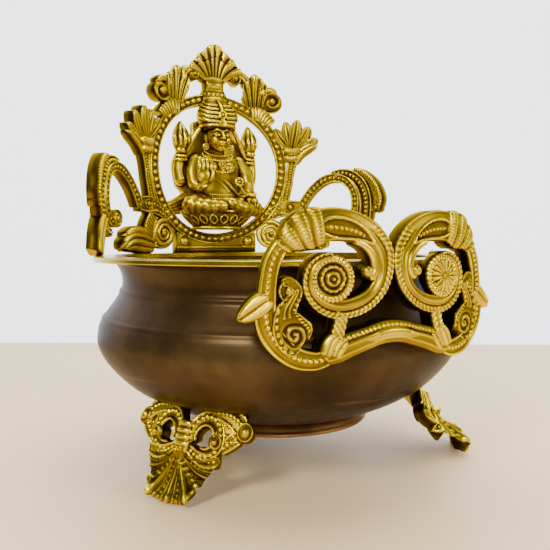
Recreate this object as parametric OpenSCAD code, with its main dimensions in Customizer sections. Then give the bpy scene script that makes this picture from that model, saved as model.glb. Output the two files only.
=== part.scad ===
// Brass urli: a wide bowl on three feet, with an openwork scroll piece at the
// front and an openwork back panel that carries a seated figure in a ring.
// Millimetres, +Z up, feet on z = 0, front scroll towards -Y, back panel towards +Y.

/* [Bowl] */
// Radius of the rim's outer edge
rim_radius = 100; // [84:1:120]
// Height of the rim's upper face above the floor
rim_height = 106.5; // [90:0.5:127]
// Width of the polished flange, inwards from its edge
rim_width = 16; // [13:0.5:19]
// Thickness of the flange
rim_thickness = 2.6; // [2:0.1:3.6]
// Thickness of the bowl's wall
bowl_wall = 2.4; // [1.8:0.1:3.2]
// Height of the ring under the bowl
foot_ring_height = 7; // [5:0.5:9]
// Thickness of the ring under the bowl
foot_ring_wall = 2.6; // [2:0.1:4]

/* [Legs] */
// Thickness of a leg casting, square to its slope
leg_thickness = 8; // [6:0.5:10]
// Radius of the eye in each of a leg's two scrolls
leg_eye_radius = 4.6; // [3.5:0.1:5.5]
// How far a toe stands out past the place where it meets the floor
toe_length = 8.5; // [6:0.5:11]

/* [Back panel] */
// Height of the panel above the rim
panel_height = 143; // [120:1:170]
// Thickness of the panel casting
panel_thickness = 6; // [5:0.5:7]
// Radius the panel is bent to, at its inner face
panel_bend = 100; // [95:1:110]
// Lean of the panel away from the bowl, degrees
panel_lean = 1.5; // [0:0.1:2.5]
// Width of the ring's band
ring_band = 7.5; // [6:0.5:9]

/* [Seated figure] */
// Depth of the seat, front to back
seat_depth = 27; // [22:1:32]
// Radius of the crown
crown_radius = 12; // [10.5:0.5:13]

/* [Front scroll] */
// Width of the scroll piece from ear to ear
scroll_width = 131; // [110:1:150]
// Thickness of the scroll casting
scroll_thickness = 6; // [5:0.5:7]
// Radius the scroll piece is bent to, at its front face
scroll_bend = 186; // [160:1:210]
// How far the scroll's front face stands out past the rim
scroll_stand = 4; // [3:0.5:5]

/* [Output] */
// Which sub-part to draw

/* [Hidden] */
$fn = 96;
lacquer = [0.3, 0.22, 0.15];
polished = [0.93, 0.76, 0.3];
bronze = [0.62, 0.4, 0.2];
cast = [0.78, 0.6, 0.2];
kr = rim_radius / 100;
kz = rim_height / 106.5;
kp = panel_height / 143;
kh = scroll_width / 131;
panel_face = rim_radius - 7 * kr;
panel_axis = panel_face - panel_bend;
scroll_front = rim_radius + scroll_stand;
scroll_axis = scroll_bend - scroll_front;
drawn_leg_thickness = 8;
toe_reach = 96 * kr + toe_length;
// the whole part is moved so that its box is centred on the origin
centre_y = (scroll_front - toe_reach) / 2;
ring_centre = 57.5;
ring_outer = 52;
ring_inner = ring_outer - ring_band / kp;

// ---- helpers --------------------------------------------------------------
function between(a, b, c, d, t) =
    0.5 * (2 * b + (c - a) * t + (2 * a - 5 * b + 4 * c - d) * t * t + (3 * b - a - 3 * c + d) * t * t * t);
function smooth(p, n) = [for (i = [0 : len(p) - 2]) for (j = [0 : n - 1])
    between(p[max(i - 1, 0)], p[i], p[i + 1], p[min(i + 2, len(p) - 1)], j / n), p[len(p) - 1]];
function heading(p, i) = p[min(i + 1, len(p) - 1)] - p[max(i - 1, 0)];
function across(p, i) = [-heading(p, i)[1], heading(p, i)[0]] / norm([heading(p, i)[0], heading(p, i)[1]]);
function side(p, i, k) = [p[i][0], p[i][1]] + k * across(p, i);

// where a flat drawing's u lands when the sheet is bent to radius bend and seen square to angle turn
function wrapped(u, bend, turn) = bend * sin(u / bend * 180 / PI - turn);
function bent(p, bend, turn) = [for (q = p) [wrapped(q[0], bend, turn), q[1]]];

// a strip of changing width along a path of [u, z, width]
function strip(path, n = 3) = let (p = smooth(path, n)) concat(
    [for (i = [0 : len(p) - 1]) side(p, i, -p[i][2] / 2)],
    [for (i = [len(p) - 1 : -1 : 0]) side(p, i, p[i][2] / 2)]);
function disc(u, z, r, n = 28) = [for (i = [0 : n - 1]) [u + r * cos(i * 360 / n), z + r * sin(i * 360 / n)]];
function scaled(p, k) = [for (q = p) q * k];
// the outline itself for s = 1, its mirror image for s = -1, always anticlockwise
function handed(p, s) = s > 0 ? p : [for (i = [len(p) - 1 : -1 : 0]) [-p[i][0], p[i][1]]];

module mirrored_x() {
    mirror([1, 0, 0])
        children();
}

// ---- bowl -----------------------------------------------------------------
bowl_points = [[0, 24], [24, 24], [44, 24.4], [52, 25.6], [59, 28], [66, 31], [73.6, 35], [81.3, 40],
    [88.7, 47], [95, 55], [97.8, 63], [96.4, 72.2], [93.1, 77.4], [89.3, 82.6], [86.2, 88], [85, 92.5],
    [85.6, 97.5], [88, 102], [92, 105]];
bowl_outer = [for (q = smooth(bowl_points, 2)) [q[0] * kr, q[1] * kz]];
bowl_inner = [for (i = [0 : len(bowl_outer) - 1]) side(bowl_outer, i, bowl_wall)];
rim_under = rim_height - rim_thickness;

module bowl_solid() {
    rotate_extrude()
        polygon(concat([for (q = bowl_outer) [max(q[0], 0), q[1]]], [[0, bowl_outer[len(bowl_outer) - 1][1]]]));
}

module bowl_body_shape() {
    difference() {
        rotate_extrude()
            polygon(concat([for (q = bowl_outer) [max(q[0], 0), q[1]]],
                [for (i = [len(bowl_inner) - 1 : -1 : 0]) [i == 0 ? 0 : bowl_inner[i][0], bowl_inner[i][1]]]));
        translate([0, 0, rim_under])
            cylinder(h = 30, r = rim_radius * 1.2);
    }
}

module rim_flange_shape() {
    edge = rim_thickness * 0.35;
    rotate_extrude()
        polygon([[rim_radius - rim_width, rim_under], [rim_radius - edge, rim_under],
            [rim_radius, rim_under + edge], [rim_radius, rim_height - edge * 0.6],
            [rim_radius - edge * 0.6, rim_height], [rim_radius - rim_width, rim_height]]);
}

module foot_ring_shape() {
    top = 27 * kz;
    low = top - foot_ring_height - 1.3;
    difference() {
        rotate_extrude()
            polygon([[49.4 * kr - foot_ring_wall, low], [49.4 * kr, low], [47.4 * kr, low + 2.4], [46.8 * kr, top],
                [46.8 * kr - foot_ring_wall, top], [46.8 * kr - foot_ring_wall, low + 2.4]]);
        bowl_solid();
    }
}

// ---- legs -----------------------------------------------------------------
// drawn towards -Y and turned into place; sections are reach and height above the floor
toe = toe_reach / kr;
splayed_section = [[94.3, 0], [98, 0], [toe - 1.5, 2.4], [toe, 5.2], [toe - 0.6, 6.8], [96.3, 11.2], [89.6, 15.2],
    [87.3, 19], [84, 29], [81.6, 38], [60, 38], [69.6, 24], [74.8, 21.6]];
upright_section = [[86.5, 0], [92.5, 0], [94.8, 1.4], [95.2, 3.4], [93.8, 5.6], [90.6, 10], [88.6, 14.6], [87, 19],
    [85.4, 24], [83.6, 29], [78, 38], [60, 38], [66, 27], [72, 24.5], [75, 19], [79, 12.5]];

module leg_outline() {
    difference() {
        union() {
            polygon([[-6.5, 0], [6.5, 0], [10.5, 2], [13.5, 7], [15, 11], [18, 15], [20.5, 19], [18, 24], [-18, 24],
                [-20.5, 19], [-18, 15], [-15, 11], [-13.5, 7], [-10.5, 2]]);
            translate([-5, 14])
                square([10, 18]);
            for (s = [-1, 1]) {
                translate([s * 12.2, 27.4])
                    circle(r = 10.2);
                polygon(handed([[10, 18], [20, 17], [31, 26.5], [30, 35], [15, 38]], s));
                translate([s * 32, 31])
                    circle(r = 4.4);
            }
        }
        for (s = [-1, 1])
            translate([s * 11.4, 27.8])
                circle(r = leg_eye_radius);
    }
}

// how much thicker than the drawn sections the leg is made
grow = leg_thickness - drawn_leg_thickness;

module leg_shape(turn, section, tall) {
    rotate([0, 0, turn])
        difference() {
            intersection() {
                rotate([0, 0, -128])
                    rotate_extrude(angle = 76)
                        polygon([for (i = [0 : len(section) - 1])
                            [(section[i][0] + (i > 3 && i < 11 ? grow : 0)) * kr, section[i][1] * kz]]);
                rotate([90, 0, 0])
                    linear_extrude(height = rim_radius * 1.4)
                        scale([kr, kz * tall])
                            leg_outline();
            }
            bowl_solid();
        }
}

// ---- back panel -----------------------------------------------------------
// flat drawings in u (along the bend) and z above the rim, right half only where mirrored
lotus_stem = [[50.8, 36, 6], [52.2, 43, 5.5], [53.8, 50, 5], [54.6, 58, 5], [56, 64.5, 7]];
lotus_fan = [[57.5, 63], [60.5, 68.5], [65.5, 72], [71, 73.5], [73, 75.5], [69.5, 83.5], [66, 86], [63.5, 90.5],
    [60, 92.5], [53.5, 92], [50, 89.5], [45, 90.5], [41.5, 87], [44, 79], [50.5, 74], [51, 68], [50.6, 64]];
leaf_arm = [[14, 123.5, 6], [19.5, 123, 7], [23.5, 119, 9], [26.5, 112.5, 14], [31, 105, 13], [35, 97, 10]];
leaf_link = [[32, 113.5, 9], [37.5, 110, 9], [40, 106.5, 9]];
coil_outer = disc(40.5, 12.3, 10.3);
coil_rise = [[37, 20, 8], [44, 25.5, 9], [52, 29.5, 11], [58, 31.5, 10.5]];
foot_leaf = [[50, 6, 15], [57, 6.5, 16], [65, 7, 15.5], [72, 6.5, 14], [79, 4.5, 9]];
wing_arch = [[61, 31, 8], [66, 36, 6.5], [70, 42, 6.5], [76, 47, 7], [84, 49.8, 8.5], [92.5, 49, 10.5],
    [100, 45.5, 13], [105.5, 39, 15.5], [107.5, 30.5, 16.5], [106, 22, 15.5], [100, 16.5, 12], [92, 15.5, 9],
    [85, 18, 7.5]];
wing_fin = [[101, 51, 4], [110, 46, 6.5], [116.5, 39.5, 8], [119.5, 31.5, 8], [118, 27, 6]];
wing_foot = [[108, 17, 13], [114, 12, 13], [118, 6, 12], [120, 0, 11]];

module flat_sheet(points, turn = 0) {
    polygon(bent(scaled(points, kp), panel_bend, turn));
}

// a plate on the panel's bend, from a drawing seen square to the angle turn
module panel_plate(turn = 0) {
    tall = panel_height + 30;
    translate([0, panel_axis, rim_height])
        intersection() {
            difference() {
                translate([0, 0, -20])
                    cylinder(h = tall, r = panel_bend + panel_thickness, $fn = 200);
                translate([0, 0, -21])
                    cylinder(h = tall + 2, r = panel_bend, $fn = 200);
            }
            rotate([0, 0, -turn])
                translate([0, panel_bend * 1.5, 0])
                    rotate([90, 0, 0])
                        linear_extrude(height = panel_bend * 1.4)
                            children();
        }
}

module leaned() {
    translate([0, panel_face, rim_height])
        rotate([-panel_lean, 0, 0])
            translate([0, -panel_face, -rim_height])
                children();
}

// cuts whatever stands on the rim flat at the rim's upper face
module on_rim() {
    difference() {
        children();
        translate([0, 0, rim_height - 40])
            cylinder(h = 40, r = rim_radius * 2);
    }
}

module ring_disc(r) {
    flat_sheet([for (i = [0 : 59]) [r * cos(i * 6), ring_centre + r * sin(i * 6)]]);
}

module neck_outline() {
    flat_sheet([[-9.8, 106], [9.8, 106], [9.8, 109], [6.2, 113], [7.2, 120], [-7.2, 120], [-6.2, 113], [-9.8, 109]]);
}

module ring_outline() {
    difference() {
        ring_disc(ring_outer);
        ring_disc(ring_inner);
        neck_outline();
        flat_sheet([[-9.8, 96], [9.8, 96], [9.8, 107], [-9.8, 107]]);
    }
}

module base_outline() {
    difference() {
        flat_sheet([for (i = [-8 : 8]) [i * 29.2 / 8, -4], for (i = [8 : -1 : -8]) [i * 29.2 / 8, 13.5]]);
        ring_disc(ring_outer);
    }
}

module crest_outline() {
    neck_outline();
    for (i = [-4 : 4]) {
        reach = [23.5, 21, 20, 20.5, 20][abs(i)];
        flat_sheet(strip([for (t = [0, 0.5, 1]) [(1 + t * reach) * sin(i * 17), 116 + (1 + t * reach) * cos(i * 17),
            3 + 3.6 * t]], 2));
        flat_sheet(disc((reach + 1) * sin(i * 17), 116 + (reach + 1) * cos(i * 17), 3.3, 16));
    }
}

module leaf_outline() {
    difference() {
        union() {
            flat_sheet(strip(leaf_arm));
            flat_sheet(strip(leaf_link));
            flat_sheet(disc(41, 106, 6.6));
        }
        ring_disc(ring_outer);
        crest_outline();
    }
}

module lotus_outline() {
    difference() {
        union() {
            flat_sheet(strip(lotus_stem));
            flat_sheet(smooth(lotus_fan, 2));
        }
        ring_disc(ring_outer);
    }
}

module base_scroll_outline() {
    difference() {
        union() {
            flat_sheet(coil_outer);
            flat_sheet(strip(coil_rise));
            flat_sheet([[47, 26], [61.5, 26], [61.5, 36], [54, 36], [47, 36]]);
            flat_sheet(strip(foot_leaf));
            flat_sheet([[47, 8], [58, 8], [60, 28], [47, 28]]);
        }
        ring_disc(ring_outer);
        lotus_outline();
    }
}

module wing_outline(turn) {
    flat_sheet(strip(wing_arch), turn);
    flat_sheet(strip(wing_fin), turn);
    flat_sheet(strip(wing_foot), turn);
    flat_sheet(disc(87, 20, 5.2), turn);
}

module panel_base_shape() {
    on_rim()
        leaned()
            panel_plate()
                base_outline();
}

module panel_ring_shape() {
    leaned()
        panel_plate()
            ring_outline();
}

module panel_crest_shape() {
    leaned()
        panel_plate()
            crest_outline();
}

module leaf_shape() {
    leaned()
        panel_plate()
            leaf_outline();
}

module lotus_shape() {
    leaned()
        panel_plate()
            lotus_outline();
}

module base_scroll_shape() {
    on_rim()
        leaned()
            panel_plate()
                base_scroll_outline();
}

module wing_shape() {
    turn = 50;
    knot_side = wrapped(61.5 * kp, panel_bend, 0);
    difference() {
        on_rim()
            leaned()
                panel_plate(turn)
                    wing_outline(turn);
        translate([knot_side - 100, -200, 0])
            cube([100, 400, 400]);
    }
}

// ---- seated figure --------------------------------------------------------
// sizes in the panel's own scale: x across, y forward from the ring's middle, z above the rim
module figure_place() {
    leaned()
        translate([0, panel_face + panel_thickness / 2, rim_height])
            scale(kp)
                rotate([0, 0, 180])
                    children();
}

module limb(a, b, ra, rb) {
    d = b - a;
    flat = norm([d[0], d[1]]);
    translate(a)
        rotate([0, atan2(flat, d[2]), atan2(d[1], d[0])])
            cylinder(h = norm(d), r1 = ra, r2 = rb, $fn = 32);
    translate(b)
        sphere(r = rb * 1.12, $fn = 32);
}

module seat_shape(grow = 0) {
    figure_place()
        intersection() {
            translate([0, 7, 16])
                cylinder(h = 11 + grow, r1 = 16, r2 = 26, $fn = 64);
            translate([-40, 7 - seat_depth / 2, 10])
                cube([80, seat_depth, 17 + grow]);
        }
}

// the figure is turned to face -Y, so its own x runs the other way from the part's
function hand_place(s) = s > 0 ? [9, 13, 51] : [-19, 11, 40];

module arm(s, hand) {
    limb([s * 13.5, -1, 63], [s * 19, 1, 49], 4.8, 4);
    limb([s * 19, 1, 49], [hand[0], hand[1], hand[2]], 3.8, 3);
}

module raised_arm(s) {
    limb([s * 12, 1, 65], [s * 25, 1, 54], 4.4, 4);
    limb([s * 25, 1, 54], [s * 26, 2, 69], 3.9, 3.2);
    translate([s * 25, 2, 68])
        rotate([0, s * -6, 0])
            rotate_extrude($fn = 32)
                polygon([[0, 0], [3, 0], [5.6, 5], [5.8, 10], [4.2, 15], [2, 18.5], [0, 20]]);
}

module thigh(s) {
    limb([s * 9, 0, 33], [s * 22, 9, 32.5], 7, 5.8);
}

module figure_body_parts() {
    for (s = [-1, 1]) {
        thigh(s);
        limb([s * 22, 9, 32.5], [s * -3, 17, 31.5], 5.6, 3.6);
        raised_arm(s);
    }
    for (s = [-1, 1])
        arm(s, hand_place(s));
    translate([9.5, 14.5, 47])
        cylinder(h = 12, r1 = 3.4, r2 = 4.6, $fn = 32);
    // the veil that joins the arms, shoulders and crown behind
    translate([0, 2.4, 0])
        rotate([90, 0, 0])
            linear_extrude(height = 4.6)
                polygon([[-14, 36], [14, 36], [28, 46], [30, 56], [29, 64], [22, 76], [17, 82], [14, 88], [-14, 88],
                    [-17, 82], [-22, 76], [-29, 64], [-30, 56], [-28, 46]]);
    intersection() {
        translate([0, 2.5, 28])
            rotate_extrude($fn = 64)
                polygon([[0, 0], [14, 0], [12, 8], [10, 16], [11.5, 26], [15.5, 34], [16.5, 38], [12, 43], [5.5, 46],
                    [5, 52], [0, 52]]);
        translate([-40, -5, 0])
            cube([80, 19.5, 100]);
    }
    translate([0, 6, 80])
        sphere(r = 9.6, $fn = 48);
    translate([0, 6.5, 84])
        rotate_extrude($fn = 64)
            polygon([[0, 0], [crown_radius - 1.2, 0], [crown_radius, 3], [crown_radius - 0.6, 9],
                [crown_radius, 13.4], [9.5, 15.4], [9.2, 18], [7.5, 22], [0, 22]]);
}

module figure_body_shape() {
    difference() {
        figure_place()
            figure_body_parts();
        seat_shape(0);
    }
}

module support_shape(s) {
    difference() {
        leaned()
            panel_plate()
                difference() {
                    flat_sheet(handed([[19, 27], [43, 25], [44, 29], [20, 44]], s));
                    difference() {
                        flat_sheet([[-60, 0], [60, 0], [60, 100], [-60, 100]]);
                        ring_disc(ring_inner);
                    }
                }
        seat_shape(0);
        figure_place()
            for (t = [-1, 1]) {
                thigh(t);
                arm(t, hand_place(t));
            }
    }
}

// ---- front scroll ---------------------------------------------------------
// flat drawings in u and z measured from the rim's upper face, right half
scroll_arm = [[35, 14.5, 13.5], [27, 15, 13.5], [18.5, 14, 12.5], [11, 10.5, 11.5], [5.6, 4.5, 11], [4.4, -2, 9.4],
    [6, -8.5, 8.2], [9.5, -13.5, 7.6], [14.5, -17, 7.8], [20.5, -18.9, 8], [27, -19.2, 8], [33, -17, 7.6],
    [37.3, -12.6, 6.6], [38.4, -7, 5.6], [36.4, -2.2, 5]];
frame_side = [[46.5, 9.5, 6], [50.5, 4.5, 6.5], [53.6, -2, 6.6], [54.8, -9, 6.6], [55.4, -16, 7.5],
    [56, -23, 9.5], [53, -30, 9.5], [47.5, -35.5, 9.5], [41, -38.6, 9], [33, -39.2, 8]];
frame_bird = [[48, -13, 7], [48.5, -18, 8.5], [47, -24, 13], [44, -29, 16], [41, -33, 14]];
frame_ear = [[57, -26], [66, -21], [65.5, -19.5], [56, -11]];
bar_path = [[0, -29.2, 8.6], [6, -29.6, 8.4], [12, -31, 8.2], [20, -33, 9.6], [26, -35.6, 10.6], [32, -37.2, 10]];
bar_strut = [[24.6, -21, 6.5], [25, -26, 6], [27.5, -31.5, 7]];

module scroll_sheet(points) {
    polygon(bent(scaled(points, kh), scroll_bend, 0));
}

module scroll_plate() {
    translate([0, scroll_axis, rim_height])
        intersection() {
            difference() {
                translate([0, 0, -80])
                    cylinder(h = 160, r = scroll_bend, $fn = 240);
                translate([0, 0, -81])
                    cylinder(h = 162, r = scroll_bend - scroll_thickness, $fn = 240);
            }
            translate([0, -scroll_bend * 0.7, 0])
                rotate([90, 0, 0])
                    linear_extrude(height = scroll_bend * 0.5)
                        children();
        }
}

module clip_half() {
    intersection() {
        children();
        translate([0, -100])
            square([200, 200]);
    }
}

module scroll_outline() {
    clip_half() {
        union() {
            scroll_sheet(strip(scroll_arm));
            scroll_sheet(disc(28.5, -7, 9.6));
            scroll_sheet(disc(10.6, -3.6, 3.7, 20));
            scroll_sheet(disc(37.5, 13.6, 7.3));
            scroll_sheet(disc(43.2, 11.8, 6.2));
        }
    }
}

module frame_outline() {
    difference() {
        union() {
            scroll_sheet(strip(frame_side));
            scroll_sheet(strip(frame_bird));
            scroll_sheet(frame_ear);
            scroll_sheet(disc(47.4, -13, 4.9, 24));
        }
        scroll_outline();
    }
}

module bar_half() {
    difference() {
        union() {
            scroll_sheet(strip(bar_path));
            scroll_sheet(strip(bar_strut));
        }
        scroll_outline();
        frame_outline();
    }
}

module cut_by_rim() {
    difference() {
        children();
        rim_flange_shape();
        bowl_solid();
    }
}

// ---- named sub-parts ------------------------------------------------------
module placed() {
    translate([0, centre_y, 0])
        children();
}

module bowl_body() { color(lacquer) placed() bowl_body_shape(); }
module rim_flange() { color(polished) placed() rim_flange_shape(); }
module foot_ring() { color(bronze) placed() foot_ring_shape(); }
module leg_front_left() { color(cast) placed() leg_shape(-58, upright_section, 1); }
module leg_front_right() { color(cast) placed() leg_shape(60, splayed_section, 0.9); }
module leg_back() { color(cast) placed() leg_shape(180, splayed_section, 0.9); }
module panel_base() { color(cast) placed() panel_base_shape(); }
module panel_ring() { color(cast) placed() panel_ring_shape(); }
module panel_crest() { color(cast) placed() panel_crest_shape(); }
module crest_leaf_right() { color(cast) placed() leaf_shape(); }
module crest_leaf_left() { color(cast) placed() mirrored_x() leaf_shape(); }
module lotus_right() { color(cast) placed() lotus_shape(); }
module lotus_left() { color(cast) placed() mirrored_x() lotus_shape(); }
module base_scroll_right() { color(cast) placed() base_scroll_shape(); }
module base_scroll_left() { color(cast) placed() mirrored_x() base_scroll_shape(); }
module wing_right() { color(cast) placed() wing_shape(); }
module wing_left() { color(cast) placed() mirrored_x() wing_shape(); }
module figure_seat() { color(cast) placed() seat_shape(); }
module figure_body() { color(cast) placed() figure_body_shape(); }
module figure_support_right() { color(cast) placed() support_shape(1); }
module figure_support_left() { color(cast) placed() support_shape(-1); }
module front_scroll_right() { color(cast) placed() cut_by_rim() scroll_plate() scroll_outline(); }
module front_scroll_left() { color(cast) placed() mirrored_x() cut_by_rim() scroll_plate() scroll_outline(); }
module front_frame_right() { color(cast) placed() cut_by_rim() scroll_plate() frame_outline(); }
module front_frame_left() { color(cast) placed() mirrored_x() cut_by_rim() scroll_plate() frame_outline(); }
module front_bar() {
    color(cast)
        placed()
            cut_by_rim()
                scroll_plate() {
                    bar_half();
                    mirrored_x()
                        bar_half();
                }
}

bowl_body();
rim_flange();
foot_ring();
leg_front_left();
leg_front_right();
leg_back();
panel_base();
panel_ring();
panel_crest();
crest_leaf_left();
crest_leaf_right();
lotus_left();
lotus_right();
base_scroll_left();
base_scroll_right();
wing_left();
wing_right();
figure_seat();
figure_body();
figure_support_left();
figure_support_right();
front_scroll_left();
front_scroll_right();
front_frame_left();
front_frame_right();
front_bar();
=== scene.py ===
import math
import bpy
import numpy as np
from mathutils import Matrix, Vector


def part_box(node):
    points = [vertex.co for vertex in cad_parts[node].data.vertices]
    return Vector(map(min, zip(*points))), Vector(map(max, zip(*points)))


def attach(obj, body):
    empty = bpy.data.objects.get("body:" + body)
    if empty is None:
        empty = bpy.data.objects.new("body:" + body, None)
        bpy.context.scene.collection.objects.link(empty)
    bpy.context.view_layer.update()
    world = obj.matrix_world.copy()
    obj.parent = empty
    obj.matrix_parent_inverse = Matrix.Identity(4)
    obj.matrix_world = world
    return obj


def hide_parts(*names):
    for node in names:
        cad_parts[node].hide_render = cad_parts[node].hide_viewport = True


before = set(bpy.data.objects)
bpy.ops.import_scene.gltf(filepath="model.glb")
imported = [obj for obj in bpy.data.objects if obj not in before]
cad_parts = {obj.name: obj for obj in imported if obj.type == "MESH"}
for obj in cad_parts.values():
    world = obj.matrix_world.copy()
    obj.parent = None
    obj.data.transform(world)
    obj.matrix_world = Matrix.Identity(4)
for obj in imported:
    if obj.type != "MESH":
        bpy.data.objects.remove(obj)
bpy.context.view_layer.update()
mm = 0.001

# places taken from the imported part, in millimetres
rimBox = np.array(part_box("rim_flange")) / mm
axisY = (rimBox[0][1] + rimBox[1][1]) / 2
rimRadius = (rimBox[1][0] - rimBox[0][0]) / 2
rimZ = rimBox[1][2]
rimUnder = rimBox[0][2]
footBox = np.array(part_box("foot_ring")) / mm

panel = {"bend": 100.0, "thickness": 6.0, "lean": 1.5, "faceInset": 7.0}
scroll = {"bend": 186.0, "thickness": 6.0, "stand": 4.0}


# mesh tools
def resample(points, step):
    # a smooth cubic through the points, then even steps of length along it
    p = np.asarray(points, float)
    ext = np.vstack([2 * p[0] - p[1], p, 2 * p[-1] - p[-2]])
    t = np.linspace(0, len(p) - 1, (len(p) - 1) * 24 + 1)
    i = np.minimum(t.astype(int), len(p) - 2)
    f = (t - i)[:, None]
    a, b, c, d = ext[i], ext[i + 1], ext[i + 2], ext[i + 3]
    q = 0.5 * (2 * b + (c - a) * f + (2 * a - 5 * b + 4 * c - d) * f**2 + (3 * b - a - 3 * c + d) * f**3)
    run = np.concatenate([[0], np.cumsum(np.hypot(*np.diff(q[:, :2], axis=0).T))])
    s = np.linspace(0, run[-1], max(int(round(run[-1] / step)), 6) + 1)
    return np.column_stack([np.interp(s, run, q[:, k]) for k in range(q.shape[1])]), s


def blurred(a, times):
    # repeated three-point mean along both directions of a grid
    for _ in range(times):
        up = np.vstack([a[:1], a[:-1]])
        down = np.vstack([a[1:], a[-1:]])
        a = (up + a + down) / 3
        left = np.hstack([a[:, :1], a[:, :-1]])
        right = np.hstack([a[:, 1:], a[:, -1:]])
        a = (left + a + right) / 3
    return a


def wearAndShadeFrom(h, times=6, gain=0.55):
    # 0 in the recesses, 1 on the rubbed ridges: height above the blurred height, plus the height itself; low
    # values stand for dark patina with painted shade in the hollows and the low relief
    low, high = h.min(), max(h.max(), h.min() + 0.3)
    return np.clip(0.38 + gain * (h - blurred(h, times)) + 0.42 * ((h - low) / (high - low) - 0.35), 0, 1)


# the sides and the back of a casting get a middle wear-and-shade value: partly rubbing, partly painted shade
sideWearAndShade = 0.52  # how rubbed the sides and the back of a casting are


def closedTube(front, wearAndShade, back):
    # a shape is a pair: a grid (rows, columns, [u, z, h]) whose rows are closed loops, and each point's
    # wear-and-shade value (rubbed brass high, dark patina with painted shade low);
    # here the front is given and each row goes on round the edges and the back
    b0, b1 = front[:, :1].copy(), front[:, -1:].copy()
    b0[..., 2] = back
    b1[..., 2] = back
    mid = (b0 + b1) / 2
    loop = np.concatenate([front, b1, mid, b0], 1)
    side = np.full((len(front), 1), sideWearAndShade)
    return loop, np.concatenate([wearAndShade, side, side, side], 1)


def band(path, relief, back=-6.0, step=0.45, across=0.42, lift=0.0, ends=(0, 0), soft=0.7, ring=False):
    # a section carried along a path: at length s and place d across (-1..1), with half width w,
    # the height is relief(s, d, w)
    q, s = resample(path, step)
    half = q[:, 2] / 2
    if ring:
        tangent = np.roll(q[:, :2], -1, 0) - np.roll(q[:, :2], 1, 0)
        tangent[0] = tangent[-1] = q[1, :2] - q[-2, :2]
    else:
        tangent = np.gradient(q[:, :2], axis=0)
    tangent /= np.linalg.norm(tangent, axis=1)[:, None] + 1e-9
    left = np.column_stack([-tangent[:, 1], tangent[:, 0]])
    taper = np.ones(len(s))
    for k, e in enumerate(ends):
        if e:
            x = np.clip((s if k == 0 else s[-1] - s) / e, 0, 1)
            taper *= np.sqrt(np.clip(1 - (1 - x) ** 2, 0.004, 1))
    d = np.linspace(-1, 1, max(int(q[:, 2].max() / across), 8) + 1)
    gS, gD = np.meshgrid(s, d, indexing="ij")
    gW = np.repeat(half[:, None], len(d), 1)
    h = relief(gS, gD, gW)
    inset = np.clip(1 - (1 - np.abs(gD)) * gW / soft, 0, 1)
    h = h - soft * (1 - np.sqrt(np.clip(1 - inset**2, 0, 1)))
    wearAndShade = wearAndShadeFrom(h)
    lo = min(back, h.min())
    h = lo + (h - lo) * (0.45 + 0.55 * taper[:, None]) if any(ends) else h
    wid = (half * taper)[:, None] * d[None, :]
    front = np.stack([q[:, :1] + left[:, :1] * wid, q[:, 1:2] + left[:, 1:2] * wid, h + lift], -1)
    return closedTube(front, wearAndShade, back)


def disc(cu, cz, radius, relief, back=-6.0, rows=26, cols=56, lift=0.0, squash=1.0, soft=0.7):
    # a round boss: at radius share r (0..1) and angle a the height is relief(r, a)
    r = np.linspace(0.02, 1, rows)
    a = np.linspace(0, 2 * np.pi, cols, endpoint=False)
    gR, gA = np.meshgrid(r, a, indexing="ij")
    h = relief(gR, gA)
    inset = np.clip(1 - (1 - gR) * radius / soft, 0, 1)
    h = h - soft * (1 - np.sqrt(np.clip(1 - inset**2, 0, 1)))
    wearAndShade = wearAndShadeFrom(h)
    x, y = radius * gR * np.cos(gA), radius * gR * np.sin(gA) * squash
    top = np.stack([cu + x, cz + y, h + lift], -1)
    rim = top[-1:].copy()
    rim[..., 2] = back
    hub = rim.copy()
    hub[..., 0] = cu + (rim[..., 0] - cu) * 0.02
    hub[..., 1] = cz + (rim[..., 1] - cz) * 0.02
    edge = np.full((1, cols), sideWearAndShade)
    return np.concatenate([top, rim, hub], 0), np.concatenate([wearAndShade, edge, edge], 0)


def plume(half, low, high, outline, flutes, depth=1.8, cup=1.2, lift=0.0, back=-6.0, rows=36, perFlute=16,
          bow=0.62, centre=0.0, notch=0.035, groove=0.0):
    # flutes that start side by side on a short level line and bow outwards to the outline;
    # the outline lists share across (0..1), u and z of the tips
    table = np.asarray(outline, float)
    gX, gA = np.meshgrid(np.linspace(0, 1, rows), np.linspace(-1, 1, flutes * perFlute + 1), indexing="ij")
    share = (gA + 1) / 2 * flutes
    wave = np.abs(np.sin(np.pi * share))
    u0, z0 = half * gA, low + (high - low) * np.abs(gA)
    u2 = np.sign(gA) * np.interp(np.abs(gA), table[:, 0], table[:, 1])
    z2 = np.interp(np.abs(gA), table[:, 0], table[:, 2])
    shrink = 1 - notch * (1 - wave**0.6) * gX**3
    u1, z1 = u0 + (u2 - u0) * 0.22, z0 + (z2 - z0) * bow
    u = ((1 - gX) ** 2 * u0 + 2 * gX * (1 - gX) * u1 + gX**2 * u2) * shrink
    z = (1 - gX) ** 2 * z0 + 2 * gX * (1 - gX) * z1 + gX**2 * z2
    z = low + (z - low) * shrink
    h = depth * wave**0.65 * (0.5 + 0.5 * gX) + cup * gX**1.6 - 1.3 * np.clip((gX - 0.92) / 0.08, 0, 1) ** 2
    h = h - groove * np.exp(-((share % 1 - 0.5) / 0.1) ** 2) * (gX > 0.15) * (gX < 0.8)
    return closedTube(np.stack([centre + u, z, h + lift], -1), wearAndShadeFrom(h, 5, 0.7), back)


def flipped(shape):
    # the same shape on the other side of the middle line
    grid, wearAndShade = shape
    return grid * [-1, 1, 1], wearAndShade


def mirrored(shapes):
    return [flipped(shape) for shape in shapes]


def bothSides(shapes):
    return list(shapes) + mirrored(shapes)


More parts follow.
